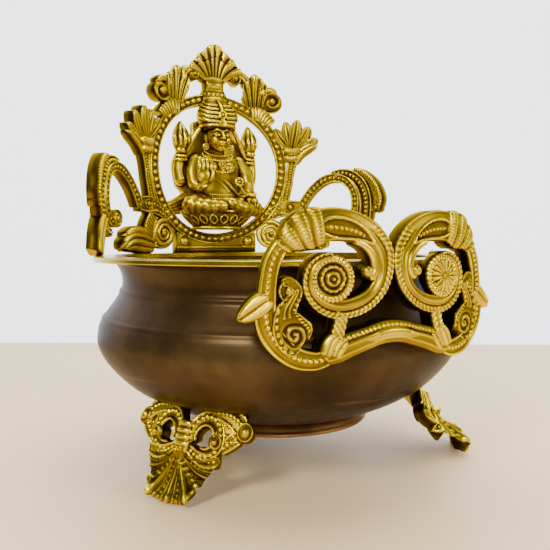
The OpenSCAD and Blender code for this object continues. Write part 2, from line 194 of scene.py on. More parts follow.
def capped(grid, wearAndShade):
    # quads between the rows of a grid closed across its columns, and a fan of triangles at each end
    n, m = grid.shape[:2]
    i = np.arange(n * m).reshape(n, m)
    j = np.roll(i, -1, 1)
    quads = np.stack([i[:-1], j[:-1], j[1:], i[1:]], -1).reshape(-1, 4)
    points = np.vstack([grid.reshape(-1, 3), grid[0].mean(0), grid[-1].mean(0)])
    a = np.stack([j[0], i[0], np.full(m, n * m)], -1)
    b = np.stack([i[-1], j[-1], np.full(m, n * m + 1)], -1)
    tris = np.vstack([a, b])
    v0, v1, v2 = points[quads[:, 0]], points[quads[:, 1]], points[quads[:, 2]]
    v3 = points[quads[:, 3]]
    mid = points.mean(0)
    vol = (np.sum(np.cross(v1 - mid, v2 - mid) * (v0 - mid))
           + np.sum(np.cross(v2 - mid, v3 - mid) * (v0 - mid)))
    if vol < 0:
        quads, tris = quads[:, ::-1], tris[:, ::-1]
    return points, np.concatenate([wearAndShade.ravel(), [wearAndShade[0].mean(), wearAndShade[-1].mean()]]), quads, tris


def makePiece(name, shapes, place, nodes):
    # joins closed shapes into one mesh after bending them into place; place maps (u, z, h) to x, y, z in mm
    points, wearAndShades, quads, tris, base = [], [], [], [], 0
    for grid, wearAndShade in shapes:
        p, w, q, t = capped(place(grid), wearAndShade)
        points.append(p)
        wearAndShades.append(w)
        quads.append(q + base)
        tris.append(t + base)
        base += len(p)
    return meshObject(name, np.vstack(points), np.vstack(quads), np.vstack(tris), cast, nodes,
                      np.concatenate(wearAndShades))


def sidePiece(s, name, node, shapes, place):
    # a piece drawn on the right side, turned over for the left one
    side = "Right" if s > 0 else "Left"
    return makePiece(name + side, shapes if s > 0 else mirrored(shapes), place, [node + "_" + side.lower()])


def meshObject(name, points, quads, tris, material, nodes, wearAndShade=None, smooth=True):
    mesh = bpy.data.meshes.new(name)
    faces = (quads.tolist() if len(quads) else []) + (tris.tolist() if len(tris) else [])
    mesh.from_pydata((points * mm).tolist(), [], faces)
    if smooth:
        mesh.polygons.foreach_set("use_smooth", np.ones(len(mesh.polygons), bool))
    if wearAndShade is not None:
        layer = mesh.attributes.new("wearAndShade", "FLOAT", "POINT")
        layer.data.foreach_set("value", wearAndShade.astype(np.float32))
    mesh.materials.append(material)
    mesh.update()
    piece = bpy.data.objects.new(name, mesh)
    bpy.context.collection.objects.link(piece)
    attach(piece, "root")
    if nodes:
        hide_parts(*nodes)
    print(name, len(mesh.polygons), "faces")
    return piece


# how flat drawings are bent
faceY = rimRadius - panel["faceInset"]


def onPanel(g):
    # the sheet is rolled about an upright axis in front of it, then leaned away from the bowl
    u, z, h = g[..., 0], g[..., 1], g[..., 2]
    turn = u / panel["bend"]
    r = panel["bend"] - h
    y = faceY - panel["bend"] + r * np.cos(turn)
    lean = math.radians(panel["lean"])
    out = y - faceY
    return np.stack([r * np.sin(turn), axisY + faceY + out * math.cos(lean) + z * math.sin(lean),
                     rimZ - out * math.sin(lean) + z * math.cos(lean)], -1)


def onScroll(g):
    # the front piece is rolled about an upright axis behind it
    u, z, h = g[..., 0], g[..., 1], g[..., 2]
    turn = u / scroll["bend"]
    r = scroll["bend"] + h
    return np.stack([r * np.sin(turn),
                     axisY + scroll["bend"] - rimRadius - scroll["stand"] - r * np.cos(turn),
                     rimZ + z], -1)


# relief patterns; s along, d across (-1..1), w half width, all heights in mm
def beads(s, off, pitch, radius, tall=1.0):
    # half balls of the given radius at every pitch along s, on the line off = 0
    along = (s + pitch / 2) % pitch - pitch / 2
    return tall * np.sqrt(np.clip(radius**2 - along**2 - off**2, 0, None))


def border(d, w, width, tall):
    # a flat-topped raised line just inside both edges
    e = (1 - np.abs(d)) * w
    return tall * np.exp(-((e - width * 0.55) / (width * 0.48)) ** 4)


def beadBand(pitch=3.0, radius=1.1, edge=1.3, tall=1.0, ringed=0.0):
    # two borders and a row of beads, each with a thin circle round it where ringed gives its radius
    def relief(s, d, w):
        off = d * w
        h = border(d, w, edge, tall) + beads(s, off, pitch, radius, 1.0)
        if ringed:
            along = (s + pitch / 2) % pitch - pitch / 2
            h = h + 0.5 * np.exp(-((np.hypot(along, off) - ringed) / 0.32) ** 2)
        return h
    return relief


def ribBand(pitch=1.8, tall=0.9, slant=0.0, dome=0.8, edge=0.0):
    # ribs across a domed band, one to each pitch, slanted by slant
    def relief(s, d, w):
        h = dome * np.sqrt(np.clip(1 - d**2, 0, 1)) * np.minimum(w, 3) / 2
        h = h + tall * np.abs(np.sin(np.pi * (s + slant * d * w) / pitch)) ** 0.7 * (np.abs(d) < 0.97)
        return h + (border(d, w, edge, tall * 0.9) if edge else 0)
    return relief


def fluteBand(flutes=3, tall=1.1, dome=0.9):
    # rounded flutes side by side along a domed band
    def relief(s, d, w):
        return dome * (1 - d**2) + tall * np.abs(np.sin(np.pi * flutes * (d + 1) / 2)) ** 0.7
    return relief


def plainBand(dome=1.6):
    # a half-round section
    def relief(s, d, w):
        return dome * np.sqrt(np.clip(1 - d**2, 0, 1))
    return relief


def mixBand(rows, edge=1.1, tall=1.0, dome=0.0, pitch=2.6, radius=0.85, grooves=()):
    # bead rows at the given places across, raised borders, and sunk lines
    def relief(s, d, w):
        h = border(d, w, edge, tall) + dome * (1 - d**2)
        for k, at in enumerate(rows):
            h = h + beads(s + 0.5 * pitch * (k % 2), (d - at) * w, pitch, radius)
        for at in grooves:
            h = h - 0.55 * np.exp(-(((d - at) * w) / 0.4) ** 2)
        return h
    return relief


def spiralDisc(turns=2.5, tall=1.3, hand=1, ball=0.2, ballTall=1.8):
    # a cosine ridge that winds out once for each turn, round a ball in the middle
    def relief(r, a):
        wave = 0.5 + 0.5 * np.cos(2 * np.pi * (turns * r - hand * a / (2 * np.pi)))
        h = tall * wave**0.8
        return np.maximum(h, ballTall * np.sqrt(np.clip(1 - (r / ball) ** 2, 0, 1)))
    return relief


def ringDisc(tall=1.2, ball=0.45, ballTall=2.0, notches=0):
    # a raised ring near the edge, notched if asked, round a ball in the middle
    def relief(r, a):
        h = tall * np.exp(-((r - 0.82) / 0.11) ** 2)
        if notches:
            h = h * (0.55 + 0.45 * np.abs(np.cos(a * notches / 2)))
        return np.maximum(h, ballTall * np.sqrt(np.clip(1 - (r / ball) ** 2, 0, 1)))
    return relief


# finishes
def newMaterial(name):
    mat = bpy.data.materials.new(name)
    mat.use_nodes = True
    nodes, links = mat.node_tree.nodes, mat.node_tree.links
    return mat, nodes, links, nodes["Principled BSDF"]


def ramp(nodes, stops):
    # a colour ramp whose first two stops are its ends
    r = nodes.new("ShaderNodeValToRGB")
    for k, (at, colour) in enumerate(stops):
        e = r.color_ramp.elements[k] if k < 2 else r.color_ramp.elements.new(at)
        e.position = at
        e.color = (*colour, 1)
    return r


# recess is dark patina with painted shade in the hollows; rubbed is worn brass on the ridges
castLook = {"recess": (0.035, 0.019, 0.0005), "middle": (0.29, 0.195, 0.002), "rubbed": (0.95, 0.72, 0.015),
            "edge": (1.0, 0.82, 0.25), "recessRough": 0.5, "rubbedRough": 0.24, "grain": 900.0,
            "blotch": 60.0}


def castBrass(name, look):
    # colour runs from a dark recess (patina with painted shade) to a rubbed ridge with the wear-and-shade
    # value, broken up by noise
    mat, nodes, links, bsdf = newMaterial(name)
    place = nodes.new("ShaderNodeTexCoord")
    blotch = nodes.new("ShaderNodeTexNoise")
    blotch.inputs["Scale"].default_value = look["blotch"]
    blotch.inputs["Detail"].default_value = 5
    grain = nodes.new("ShaderNodeTexNoise")
    grain.inputs["Scale"].default_value = look["grain"]
    grain.inputs["Detail"].default_value = 3
    for tex in (blotch, grain):
        links.new(place.outputs["Object"], tex.inputs["Vector"])
    # the wear-and-shade value: painted shade and patina where low, rubbed brass where high
    wearAndShade = nodes.new("ShaderNodeAttribute")
    wearAndShade.attribute_name = "wearAndShade"
    shift = nodes.new("ShaderNodeMapRange")
    shift.inputs["To Min"].default_value = -0.22
    shift.inputs["To Max"].default_value = 0.22
    links.new(blotch.outputs["Fac"], shift.inputs["Value"])
    total = nodes.new("ShaderNodeMath")
    total.operation = "ADD"
    links.new(wearAndShade.outputs["Fac"], total.inputs[0])
    links.new(shift.outputs["Result"], total.inputs[1])
    tone = ramp(nodes, [(0.16, look["recess"]), (0.92, look["rubbed"]), (0.46, look["middle"])])
    links.new(total.outputs["Value"], tone.inputs["Fac"])
    links.new(tone.outputs["Color"], bsdf.inputs["Base Color"])
    rough = nodes.new("ShaderNodeMapRange")
    rough.inputs["To Min"].default_value = look["recessRough"]
    rough.inputs["To Max"].default_value = look["rubbedRough"]
    links.new(total.outputs["Value"], rough.inputs["Value"])
    links.new(rough.outputs["Result"], bsdf.inputs["Roughness"])
    bump = nodes.new("ShaderNodeBump")
    bump.inputs["Strength"].default_value = 0.25
    bump.inputs["Distance"].default_value = 0.0003
    links.new(grain.outputs["Fac"], bump.inputs["Height"])
    links.new(bump.outputs["Normal"], bsdf.inputs["Normal"])
    bsdf.inputs["Metallic"].default_value = 1.0
    bsdf.inputs["Specular Tint"].default_value = (*look["edge"], 1)
    return mat


cast = castBrass("castBrass", castLook)


def polishedBrass(name, colour, dull, rough):
    # brass that is patchily dull: noise moves its colour and its roughness together
    mat, nodes, links, bsdf = newMaterial(name)
    place = nodes.new("ShaderNodeTexCoord")
    noise = nodes.new("ShaderNodeTexNoise")
    noise.inputs["Scale"].default_value = 45
    noise.inputs["Detail"].default_value = 6
    links.new(place.outputs["Object"], noise.inputs["Vector"])
    tone = ramp(nodes, [(0.3, dull), (0.62, colour)])
    links.new(noise.outputs["Fac"], tone.inputs["Fac"])
    links.new(tone.outputs["Color"], bsdf.inputs["Base Color"])
    spread = nodes.new("ShaderNodeMapRange")
    spread.inputs["To Min"].default_value = rough * 0.75
    spread.inputs["To Max"].default_value = rough * 1.35
    links.new(noise.outputs["Fac"], spread.inputs["Value"])
    links.new(spread.outputs["Result"], bsdf.inputs["Roughness"])
    bsdf.inputs["Metallic"].default_value = 1.0
    return mat


rimFinish = polishedBrass("polishedBrass", (0.60, 0.45, 0.015), (0.30, 0.22, 0.008), 0.22)
bronzeFinish = polishedBrass("reddishBronze", (0.27, 0.13, 0.04), (0.13, 0.065, 0.02), 0.42)


lacquerLook = {"dark": (0.024, 0.013, 0.005), "brown": (0.052, 0.031, 0.013), "light": (0.10, 0.062, 0.026),
               "rubbed": (0.42, 0.27, 0.07), "rubFrom": 0.068, "rubTo": 0.046, "rubMost": 0.55,
               "metallic": 0.5, "rough": 0.34, "specular": 0.25, "edge": (0.3, 0.25, 0.2)}


def brownLacquer(name, look):
    # thin dark lacquer over brass: patchy brown, with turning lines round the bowl and a few rubbed streaks
    mat, nodes, links, bsdf = newMaterial(name)
    place = nodes.new("ShaderNodeTexCoord")
    split = nodes.new("ShaderNodeSeparateXYZ")
    links.new(place.outputs["Object"], split.inputs["Vector"])
    patch = nodes.new("ShaderNodeTexNoise")
    patch.inputs["Scale"].default_value = 22
    patch.inputs["Detail"].default_value = 6
    patch.inputs["Roughness"].default_value = 0.6
    links.new(place.outputs["Object"], patch.inputs["Vector"])
    tone = ramp(nodes, [(0.3, look["dark"]), (0.72, look["light"]), (0.5, look["brown"])])
    links.new(patch.outputs["Fac"], tone.inputs["Fac"])
    # turning lines: noise read from height alone
    lines = nodes.new("ShaderNodeTexNoise")
    lines.noise_dimensions = "1D"
    lines.inputs["Scale"].default_value = 1700
    lines.inputs["Detail"].default_value = 2
    links.new(split.outputs["Z"], lines.inputs["W"])
    streaks = nodes.new("ShaderNodeMapping")
    streaks.inputs["Scale"].default_value = (9, 9, 150)
    links.new(place.outputs["Object"], streaks.inputs["Vector"])
    rub = nodes.new("ShaderNodeTexNoise")
    rub.inputs["Scale"].default_value = 1.0
    rub.inputs["Detail"].default_value = 4
    links.new(streaks.outputs["Vector"], rub.inputs["Vector"])
    rubbed = ramp(nodes, [(0.64, (0, 0, 0)), (0.78, (1, 1, 1))])
    links.new(rub.outputs["Fac"], rubbed.inputs["Fac"])
    low = nodes.new("ShaderNodeMapRange")
    low.inputs["From Min"].default_value = look["rubFrom"]
    low.inputs["From Max"].default_value = look["rubTo"]
    low.inputs["To Max"].default_value = look["rubMost"]
    links.new(split.outputs["Z"], low.inputs["Value"])
    where = nodes.new("ShaderNodeMath")
    where.operation = "MULTIPLY"
    links.new(rubbed.outputs["Color"], where.inputs[0])
    links.new(low.outputs["Result"], where.inputs[1])
    mix = nodes.new("ShaderNodeMix")
    mix.data_type = "RGBA"
    links.new(where.outputs["Value"], mix.inputs["Factor"])
    links.new(tone.outputs["Color"], mix.inputs["A"])
    mix.inputs["B"].default_value = (*look["rubbed"], 1)
    links.new(mix.outputs["Result"], bsdf.inputs["Base Color"])
    bump = nodes.new("ShaderNodeBump")
    bump.inputs["Strength"].default_value = 0.18
    bump.inputs["Distance"].default_value = 0.0002
    links.new(lines.outputs["Fac"], bump.inputs["Height"])
    links.new(bump.outputs["Normal"], bsdf.inputs["Normal"])
    bsdf.inputs["Metallic"].default_value = look["metallic"]
    bsdf.inputs["Roughness"].default_value = look["rough"]
    bsdf.inputs["Specular IOR Level"].default_value = look["specular"]
    bsdf.inputs["Specular Tint"].default_value = (*look["edge"], 1)
    return mat


lacquer = brownLacquer("brownLacquer", lacquerLook)
print("finishes made")


# bowl
latheSteps = 256


def closedLathe(profile):
    # a closed line of [radius, height] turned about the bowl's axis: quads between its rows and round its end
    q = np.asarray(profile, float)
    a = np.linspace(0, 2 * np.pi, latheSteps, endpoint=False)
    r, z = q[:, 0][:, None], q[:, 1][:, None]
    grid = np.stack([r * np.sin(a), axisY - r * np.cos(a), z + 0 * a], -1)
    n, m = grid.shape[:2]
    i = np.arange(n * m).reshape(n, m)
    j = np.roll(i, -1, 1)
    ni, nj = np.roll(i, -1, 0), np.roll(j, -1, 0)
    quads = np.stack([i, j, nj, ni], -1).reshape(-1, 4)
    return grid.reshape(-1, 3), quads


bowl = {
    "outer": [[24, 24], [44, 24.4], [52, 25.6], [59, 28], [66, 31], [73.6, 35], [81.3, 40], [88.7, 47],
              [95, 55], [97.8, 63], [96.4, 72.2], [93.1, 77.4], [89.3, 82.6], [86.2, 88], [85, 92.5],
              [85.6, 97.5], [88, 102], [91.2, 104]],
    "wall": 2.4, "base": 24.0, "ridgeHeight": 88.6, "ridge": 0.7, "ridgeWidth": 0.9,
    "seamHeight": 74.8, "seam": 0.35, "seamWidth": 0.5, "grooveHeight": 73.2, "groove": 0.25}


noTris = np.zeros((0, 3), int)


def bowlBody():
    # the outer line with its swellings, and an inner line one wall away from it along its normals
    outer, _ = resample(bowl["outer"], 0.8)
    t = np.gradient(outer, axis=0)
    n = np.column_stack([-t[:, 1], t[:, 0]]) / np.linalg.norm(t, axis=1)[:, None]
    inner = outer + bowl["wall"] * n
    z = outer[:, 1]
    swell = bowl["ridge"] * np.exp(-((z - bowl["ridgeHeight"]) / bowl["ridgeWidth"]) ** 2)
    swell = swell + bowl["seam"] * np.exp(-((z - bowl["seamHeight"]) / bowl["seamWidth"]) ** 2)
    swell = swell - bowl["groove"] * np.exp(-((z - bowl["grooveHeight"]) / bowl["seamWidth"]) ** 2)
    outer = outer - n * swell[:, None]
    keep = inner[:, 1] < rimUnder
    outer = np.vstack([outer[outer[:, 1] < rimUnder], [outer[-1, 0], rimUnder]])
    inner = np.vstack([inner[keep], [inner[keep][-1, 0], rimUnder]])
    profile = np.vstack([[[0.01, bowl["base"]]], outer, inner[::-1], [[0.01, bowl["base"] + bowl["wall"]]]])
    points, quads = closedLathe(profile)
    piece = meshObject("bowlBody", points, quads, noTris, lacquer, ["bowl_body"])
    piece.data.materials.append(rimFinish)
    inside = np.zeros(len(profile), int)
    inside[1 + len(outer):] = 1
    piece.data.polygons.foreach_set("material_index", np.repeat(inside, latheSteps))
    return piece


rim = {"width": 16.0, "edge": 0.7}


def rimFlange():
    # a flat ring with eased outer and inner edges
    w, e = rim["width"], rim["edge"]
    top, low, r = rimZ, rimUnder, rimRadius
    profile = [[r - w, low], [r - e, low], [r - 0.15, low + 0.3], [r, low + e], [r, top - e * 0.8],
               [r - 0.25, top - 0.2], [r - e, top], [r - w + 0.3, top], [r - w, top - 0.3]]
    points, quads = closedLathe(profile)
    return meshObject("rimFlange", points, quads, noTris, rimFinish, ["rim_flange"],
                      smooth=False)


foot = {"wall": 2.6, "seat": 5.0, "tuck": 0.4}


def footRing():
    # a low flared ring whose top is tucked a little into the bowl
    low, top = footBox[0][2], footBox[1][2] + foot["tuck"]
    r = (footBox[1][0] - footBox[0][0]) / 2
    profile = [[r - foot["wall"], low + 0.2], [r - 0.4, low], [r, low + 0.5], [r - 0.8, low + 1.6],
               [r - 2.0, low + 2.6], [r - foot["wall"], top], [r - foot["seat"], top], [r - 4.6, low + 2.4]]
    points, quads = closedLathe(profile)
    return meshObject("footRing", points, quads, noTris, bronzeFinish, ["foot_ring"])


bowlBody()
rimFlange()
footRing()
print("bowl made")


# back panel
ring = {"radius": 48.25, "height": 57.5, "width": 7.5, "pitch": 4.66, "bead": 1.7, "edge": 1.2,
        "circle": 2.25}


def panelRing():
    # a full circle from its lowest point, with a row of circled beads
    a = np.linspace(0, 2 * np.pi, 73)
    path = np.column_stack([ring["radius"] * np.sin(a), ring["height"] - ring["radius"] * np.cos(a),
                            np.full(73, ring["width"])])
    relief = beadBand(ring["pitch"], ring["bead"], ring["edge"], 1.0, ring["circle"])
    return makePiece("panelRing", [band(path, relief, ring=True)], onPanel, ["panel_ring"])


base = {"halfWidth": 29.2, "tall": 13.5, "boss": 3.4, "bossAt": (23.5, 7.3), "lineAt": 3.4,
        "ringInside": 51.5}


def panelBase():
    # a plate that ends on the ring's circle, with a raised line along the foot and a boss at each side
    u = np.linspace(-base["halfWidth"], base["halfWidth"], 120)
    gU, gT = np.meshgrid(u, np.linspace(0, 1, 36), indexing="ij")
    ringLow = ring["height"] - np.sqrt(np.clip(base["ringInside"]**2 - gU**2, 0, None))
    z = gT * np.minimum(ringLow + 0.8, base["tall"])
    # the sunk strip under the foot line takes the darkest wear-and-shade value: painted shadow where the base
    # meets the rim
    h = 0.9 * np.exp(-((z - base["lineAt"]) / 1.0) ** 4) - 1.6 * np.clip(1 - z / 1.6, 0, 1)
    for s in (-1, 1):
        dist = np.hypot(gU - s * base["bossAt"][0], z - base["bossAt"][1])
        h = h + 2.2 * np.sqrt(np.clip(1 - (dist / base["boss"]) ** 2, 0,
                                      1)) + 0.5 * np.exp(-((dist - 4.3) / 0.5) ** 2)
    front = np.stack([gU, z, h], -1)
    return makePiece("panelBase", [closedTube(front, wearAndShadeFrom(h, 5), -6)], onPanel, ["panel_base"])


def panelCrest():
    # a fluted plume on a neck with a bead row, and an arm with a small curl on each side
    outline = [[0, 0, 145], [0.22, 5.5, 142.4], [0.33, 8.4, 138.8], [0.55, 13, 136], [0.66, 15.6, 132],
               [0.85, 19.4, 128.6], [1, 20.6, 124.4]]
    shapes = [plume(6.8, 118.6, 118.2, outline, 8, depth=2.3, cup=1.2, lift=0.9, groove=0.0, notch=0.02)]

    def neck(s, d, w):
        h = 3.2 * np.sqrt(np.clip(1 - (0.92 * d) ** 2, 0, 1))
        h = h + 0.8 * np.exp(-((s - 15) / 0.9) ** 2) + 0.7 * np.exp(-((s - 7.4) / 0.5) ** 2)
        h = h + 0.7 * np.exp(-((s - 1.2) / 0.7) ** 2) + beads(d * w + 1.7, s - 4.3, 3.4, 1.35)
        pleats = 0.5 * np.abs(np.sin(d * w * 2.2)) * np.exp(-((s - 9) / 0.8) ** 2)
        return h + 0.8 * np.exp(-((s - 11.3) / 2.0) ** 2) + pleats
    shapes.append(band([[0, 104.5, 19], [0, 109, 17.5], [0, 113, 13.6], [0, 117, 13.6], [0, 121, 14]],
                       neck))
    for s in (-1, 1):
        shapes.append(disc(s * 15.8, 121.6, 4.2, spiralDisc(1.3, 1.2, -s, 0.42, 2.6), lift=1.6))
        side = band([[6, 119, 3.4], [10.5, 122.4, 4], [15.5, 124.6, 4.4], [20, 124, 4], [21.6, 121, 3.4]],
                    plainBand(1.6),
                    ends=(1, 1.5), lift=0.6)
        shapes.append(side if s > 0 else flipped(side))
    return makePiece("panelCrest", shapes, onPanel, ["panel_crest"])


def crestLeaf(s):
    # three upright lobes on a stalk, a link to the crest, and a curl with a ball at the side
    lobes = plume(5.4, 97.6, 97.6, [[0, 0, 125.5], [0.25, 4.6, 124.4], [0.4, 6.4, 120], [0.65, 9.0, 119.4],
                                    [1, 9.4, 110]], 5,
                  depth=2.4, cup=2.2, lift=-0.2, centre=29.5, bow=0.5, notch=0.05, groove=0.8)
    shapes = [
        lobes,
        band([[13.5, 124.6, 5], [18, 125.4, 6], [22.5, 122.6, 6.5], [25, 117, 7]], fluteBand(2, 1.0, 1.8),
             ends=(2, 2)),
        disc(42, 106, 7.2, spiralDisc(1.3, 1.7, s, 0.4, 3.4), lift=1.1, squash=0.92),
        band([[34.5, 110, 6], [37, 114.4, 6], [41.5, 114.6, 5], [45.5, 111.6, 4]], plainBand(2.2),
             ends=(2, 2), lift=0.6),
        band([[27, 97.5, 10], [33, 97, 11], [38, 94, 9.5], [41.5, 90.5, 8]], ribBand(2.2, 0.9, 0, 0.9),
             lift=-0.3)]
    return sidePiece(s, "crestLeaf", "crest_leaf", shapes, onPanel)


def lotus(s):
    # a beaded stalk, a ribbed collar and five cupped petals, the middle one in front
    def petal(tip, width, lift, root=(56, 71.5), bend=0.0):
        a, b = np.array(root, float), np.array(tip, float)
        side = np.array([b[1] - a[1], a[0] - b[0]]) / np.linalg.norm(b - a) * bend
        pts = [[*(a + (b - a) * t + side * math.sin(math.pi * t)), w] for t, w in
               ((0, width * 0.45), (0.35, width), (0.65, width * 1.06), (0.88, width * 0.66),
                (1, width * 0.22))]

        def relief(q, d, w):
            rise = np.clip(q / 20, 0, 1)
            return (3.0 * np.sqrt(np.clip(1 - (0.93 * d) ** 2, 0, 1)) * (0.4 + 0.6 * rise)
                    - 0.9 * np.exp(-(d * w / 0.55) ** 2)
                    - 0.4 * np.exp(-((np.abs(d) - 0.55) * w / 0.4) ** 2))
        return band(pts, relief, lift=lift, ends=(1, 1.2))
    shapes = [
        band([[49.8, 33, 6], [51.8, 41, 5.5], [53.6, 49, 5.2], [54.8, 57, 5.2], [56, 64.5, 7.5]],
             mixBand([0], 0.9, 0.8, 0, 1.9, 0.75)),
        band([[50.5, 66.5, 5], [56, 65.5, 5.5], [61, 66.5, 5]], ribBand(1.7, 0.6, 0, 1.6), lift=0.8,
             ends=(1.5, 1.5)),
        band([[50, 71.4, 5], [56, 70.4, 5.6], [62.5, 71.6, 5]], ribBand(1.7, 0.6, 0, 1.8), lift=1.2,
             ends=(1.5, 1.5)),
        band([[57.5, 63.5, 6], [62, 69.5, 7], [68, 73.4, 6.5], [73, 75.2, 3]], fluteBand(2, 0.8, 1.0),
             ends=(0, 2)),
        petal((43.4, 88), 7.5, -0.6, bend=-1.2), petal((73.6, 80), 7.5, -0.6, bend=1.6),
        petal((51.5, 92.6), 8.2, 0.3, bend=-0.4), petal((68.6, 88.4), 8.2, 0.3, bend=0.8),
              petal((60.4, 93.4), 8.6, 1.5)]
    return sidePiece(s, "lotus", "lotus", shapes, onPanel)


def baseScroll(s):
    # a curl against the ring's foot, a ribbed strap and a round boss over it, and a low fluted leaf beside it
    a = np.linspace(0.6 * np.pi, -3.9 * np.pi, 60)
    r = np.linspace(8.6, 1.6, 60)
    coil = np.column_stack([40.5 + r * np.cos(a), 12.6 + r * np.sin(a), np.linspace(3.6, 2.0, 60)])
    shapes = [
        disc(40.5, 12.6, 10.3, lambda r, a: -0.6 + 0 * r, lift=-0.4),
        band(coil, plainBand(1.5), back=-2, lift=0.1, ends=(0, 1)),
        disc(40.5, 12.6, 2.3, ringDisc(0.2, 0.9, 1.8), lift=0.2),
        band([[34.5, 21.5, 5.5], [40, 26, 8], [47, 29, 9.5], [53, 30.5, 10.5]],
             mixBand([-0.35, 0.35], 1.0, 0.9, 0.3)),
        band([[50, 24, 8], [53.5, 17, 9], [54, 9, 9], [50.5, 2.5, 8]], ribBand(2.3, 0.8, 0.5, 0.8, 1.0),
             lift=-0.2),
        band([[46.8, 31, 9.5], [54.5, 31, 10.5], [61.5, 31, 9.5]], mixBand([], 1.3, 1.1, 0.4), lift=0.3),
        disc(54.3, 31, 3.7, ringDisc(0.9, 0.5, 1.7, 8), lift=0.9),
        band([[51, 4.5, 10], [57, 5.6, 12.5], [64, 6.6, 13.5], [71, 6.6, 12.5], [77.5, 4.5, 8.5],
              [80, 2.5, 4]],
             fluteBand(3, 1.5, 2.2), ends=(0, 3)),
        band([[56, 12, 4], [62, 14.2, 5], [70, 13.6, 5], [77, 10.5, 4]], plainBand(1.8), ends=(2, 2),
             lift=0.6)]
    return sidePiece(s, "baseScroll", "base_scroll", shapes, onPanel)


wingPaths = {
    "inner": [[61.5, 30, 7], [66, 37.5, 6.5], [71.5, 44.2, 6.5], [78.5, 49.4, 6.8], [86, 51.0, 6.5],
              [93, 49, 6.2], [98.2, 44.2, 6], [100.8, 37.5, 6], [101, 30, 6], [99.3, 23.8, 6],
              [95.8, 19.4, 6], [91, 17.6, 5.8], [86.4, 19.2, 5]],
    "middle": [[83.5, 53.4, 4], [91, 54.4, 5.5], [98.6, 52.0, 7.6], [105, 46.2, 8.8], [108.4, 38.6, 9.4],
               [109.2, 30, 9.6], [107.8, 21.4, 9.4], [104, 14.8, 8], [98.4, 11.8, 6], [93, 11.8, 4.4]],
    "fin": [[100, 56.2, 2.6], [106.5, 53.6, 4], [113, 48, 5], [117.4, 41.5, 5.4], [119.4, 34.5, 5.2],
            [118.4, 29, 4.4]]}


def wing(s):
    # three bands one outside the other, a ball on the fin, a curl inside the arch and a flared foot
    shapes = [
        band(wingPaths["inner"], beadBand(3.4, 1.15, 1.3, 1.0, 1.6), ends=(0, 2)),
        band(wingPaths["middle"], mixBand([0.0], 1.4, 1.0, 0.3, 3.0, 1.15, (-0.5, 0.5)), ends=(1.5, 1.5),
             lift=-0.1),
        band(wingPaths["fin"], ribBand(1.7, 0.9, 0.3, 0.9), ends=(1.5, 1.5), lift=0.1),
        disc(117, 28.6, 3.4, ringDisc(0.9, 0.55, 1.6), lift=0.4),
        disc(87.2, 20.2, 5.4, spiralDisc(1.6, 1.2, -1, 0.3, 1.8), lift=0.3),
        band([[107, 19, 9], [112, 13.5, 11], [116, 7, 12], [118.5, 0.2, 11]], fluteBand(3, 1.2, 1.6))]
    return sidePiece(s, "wing", "wing", shapes, onPanel)


panelRing()
panelBase()
panelCrest()
for side in (-1, 1):
    crestLeaf(side)
    lotus(side)
    baseScroll(side)
    wing(side)
print("panel made")


# front scroll
scrollPaths = {
    "hub": (28.5, -7),
    "arm": [[36, 14.3, 13.5], [27, 15, 13.8], [18.5, 14, 12.8], [11, 10.5, 11.6], [5.8, 4.5, 10.6],
            [4.6, -2, 9.2], [6, -8.5, 8.2], [9.5, -13.5, 7.8], [14.5, -17, 8], [20.5, -18.9, 8.2],
            [27, -19.2, 8.2], [33, -17, 7.8], [37.3, -12.6, 6.8], [38.6, -7, 5.8], [36.8, -1.6, 5.2],
            [32.5, 1.6, 4.2], [27.5, 2.2, 3]],
    "volute": [[19, 8.4, 3], [13.6, 6.0, 3.8], [10, 2.0, 4.3], [8.9, -2.6, 4.4], [10.2, -6.2, 3.6],
               [12.4, -7.0, 2.8]],
    "collar": [[31.6, 14.6, 13.5], [36, 13.8, 16.6], [40.6, 12.2, 16.6], [44.6, 9.8, 13.5], [47.8, 6.6, 9],
               [49.6, 4.2, 6.5]]}


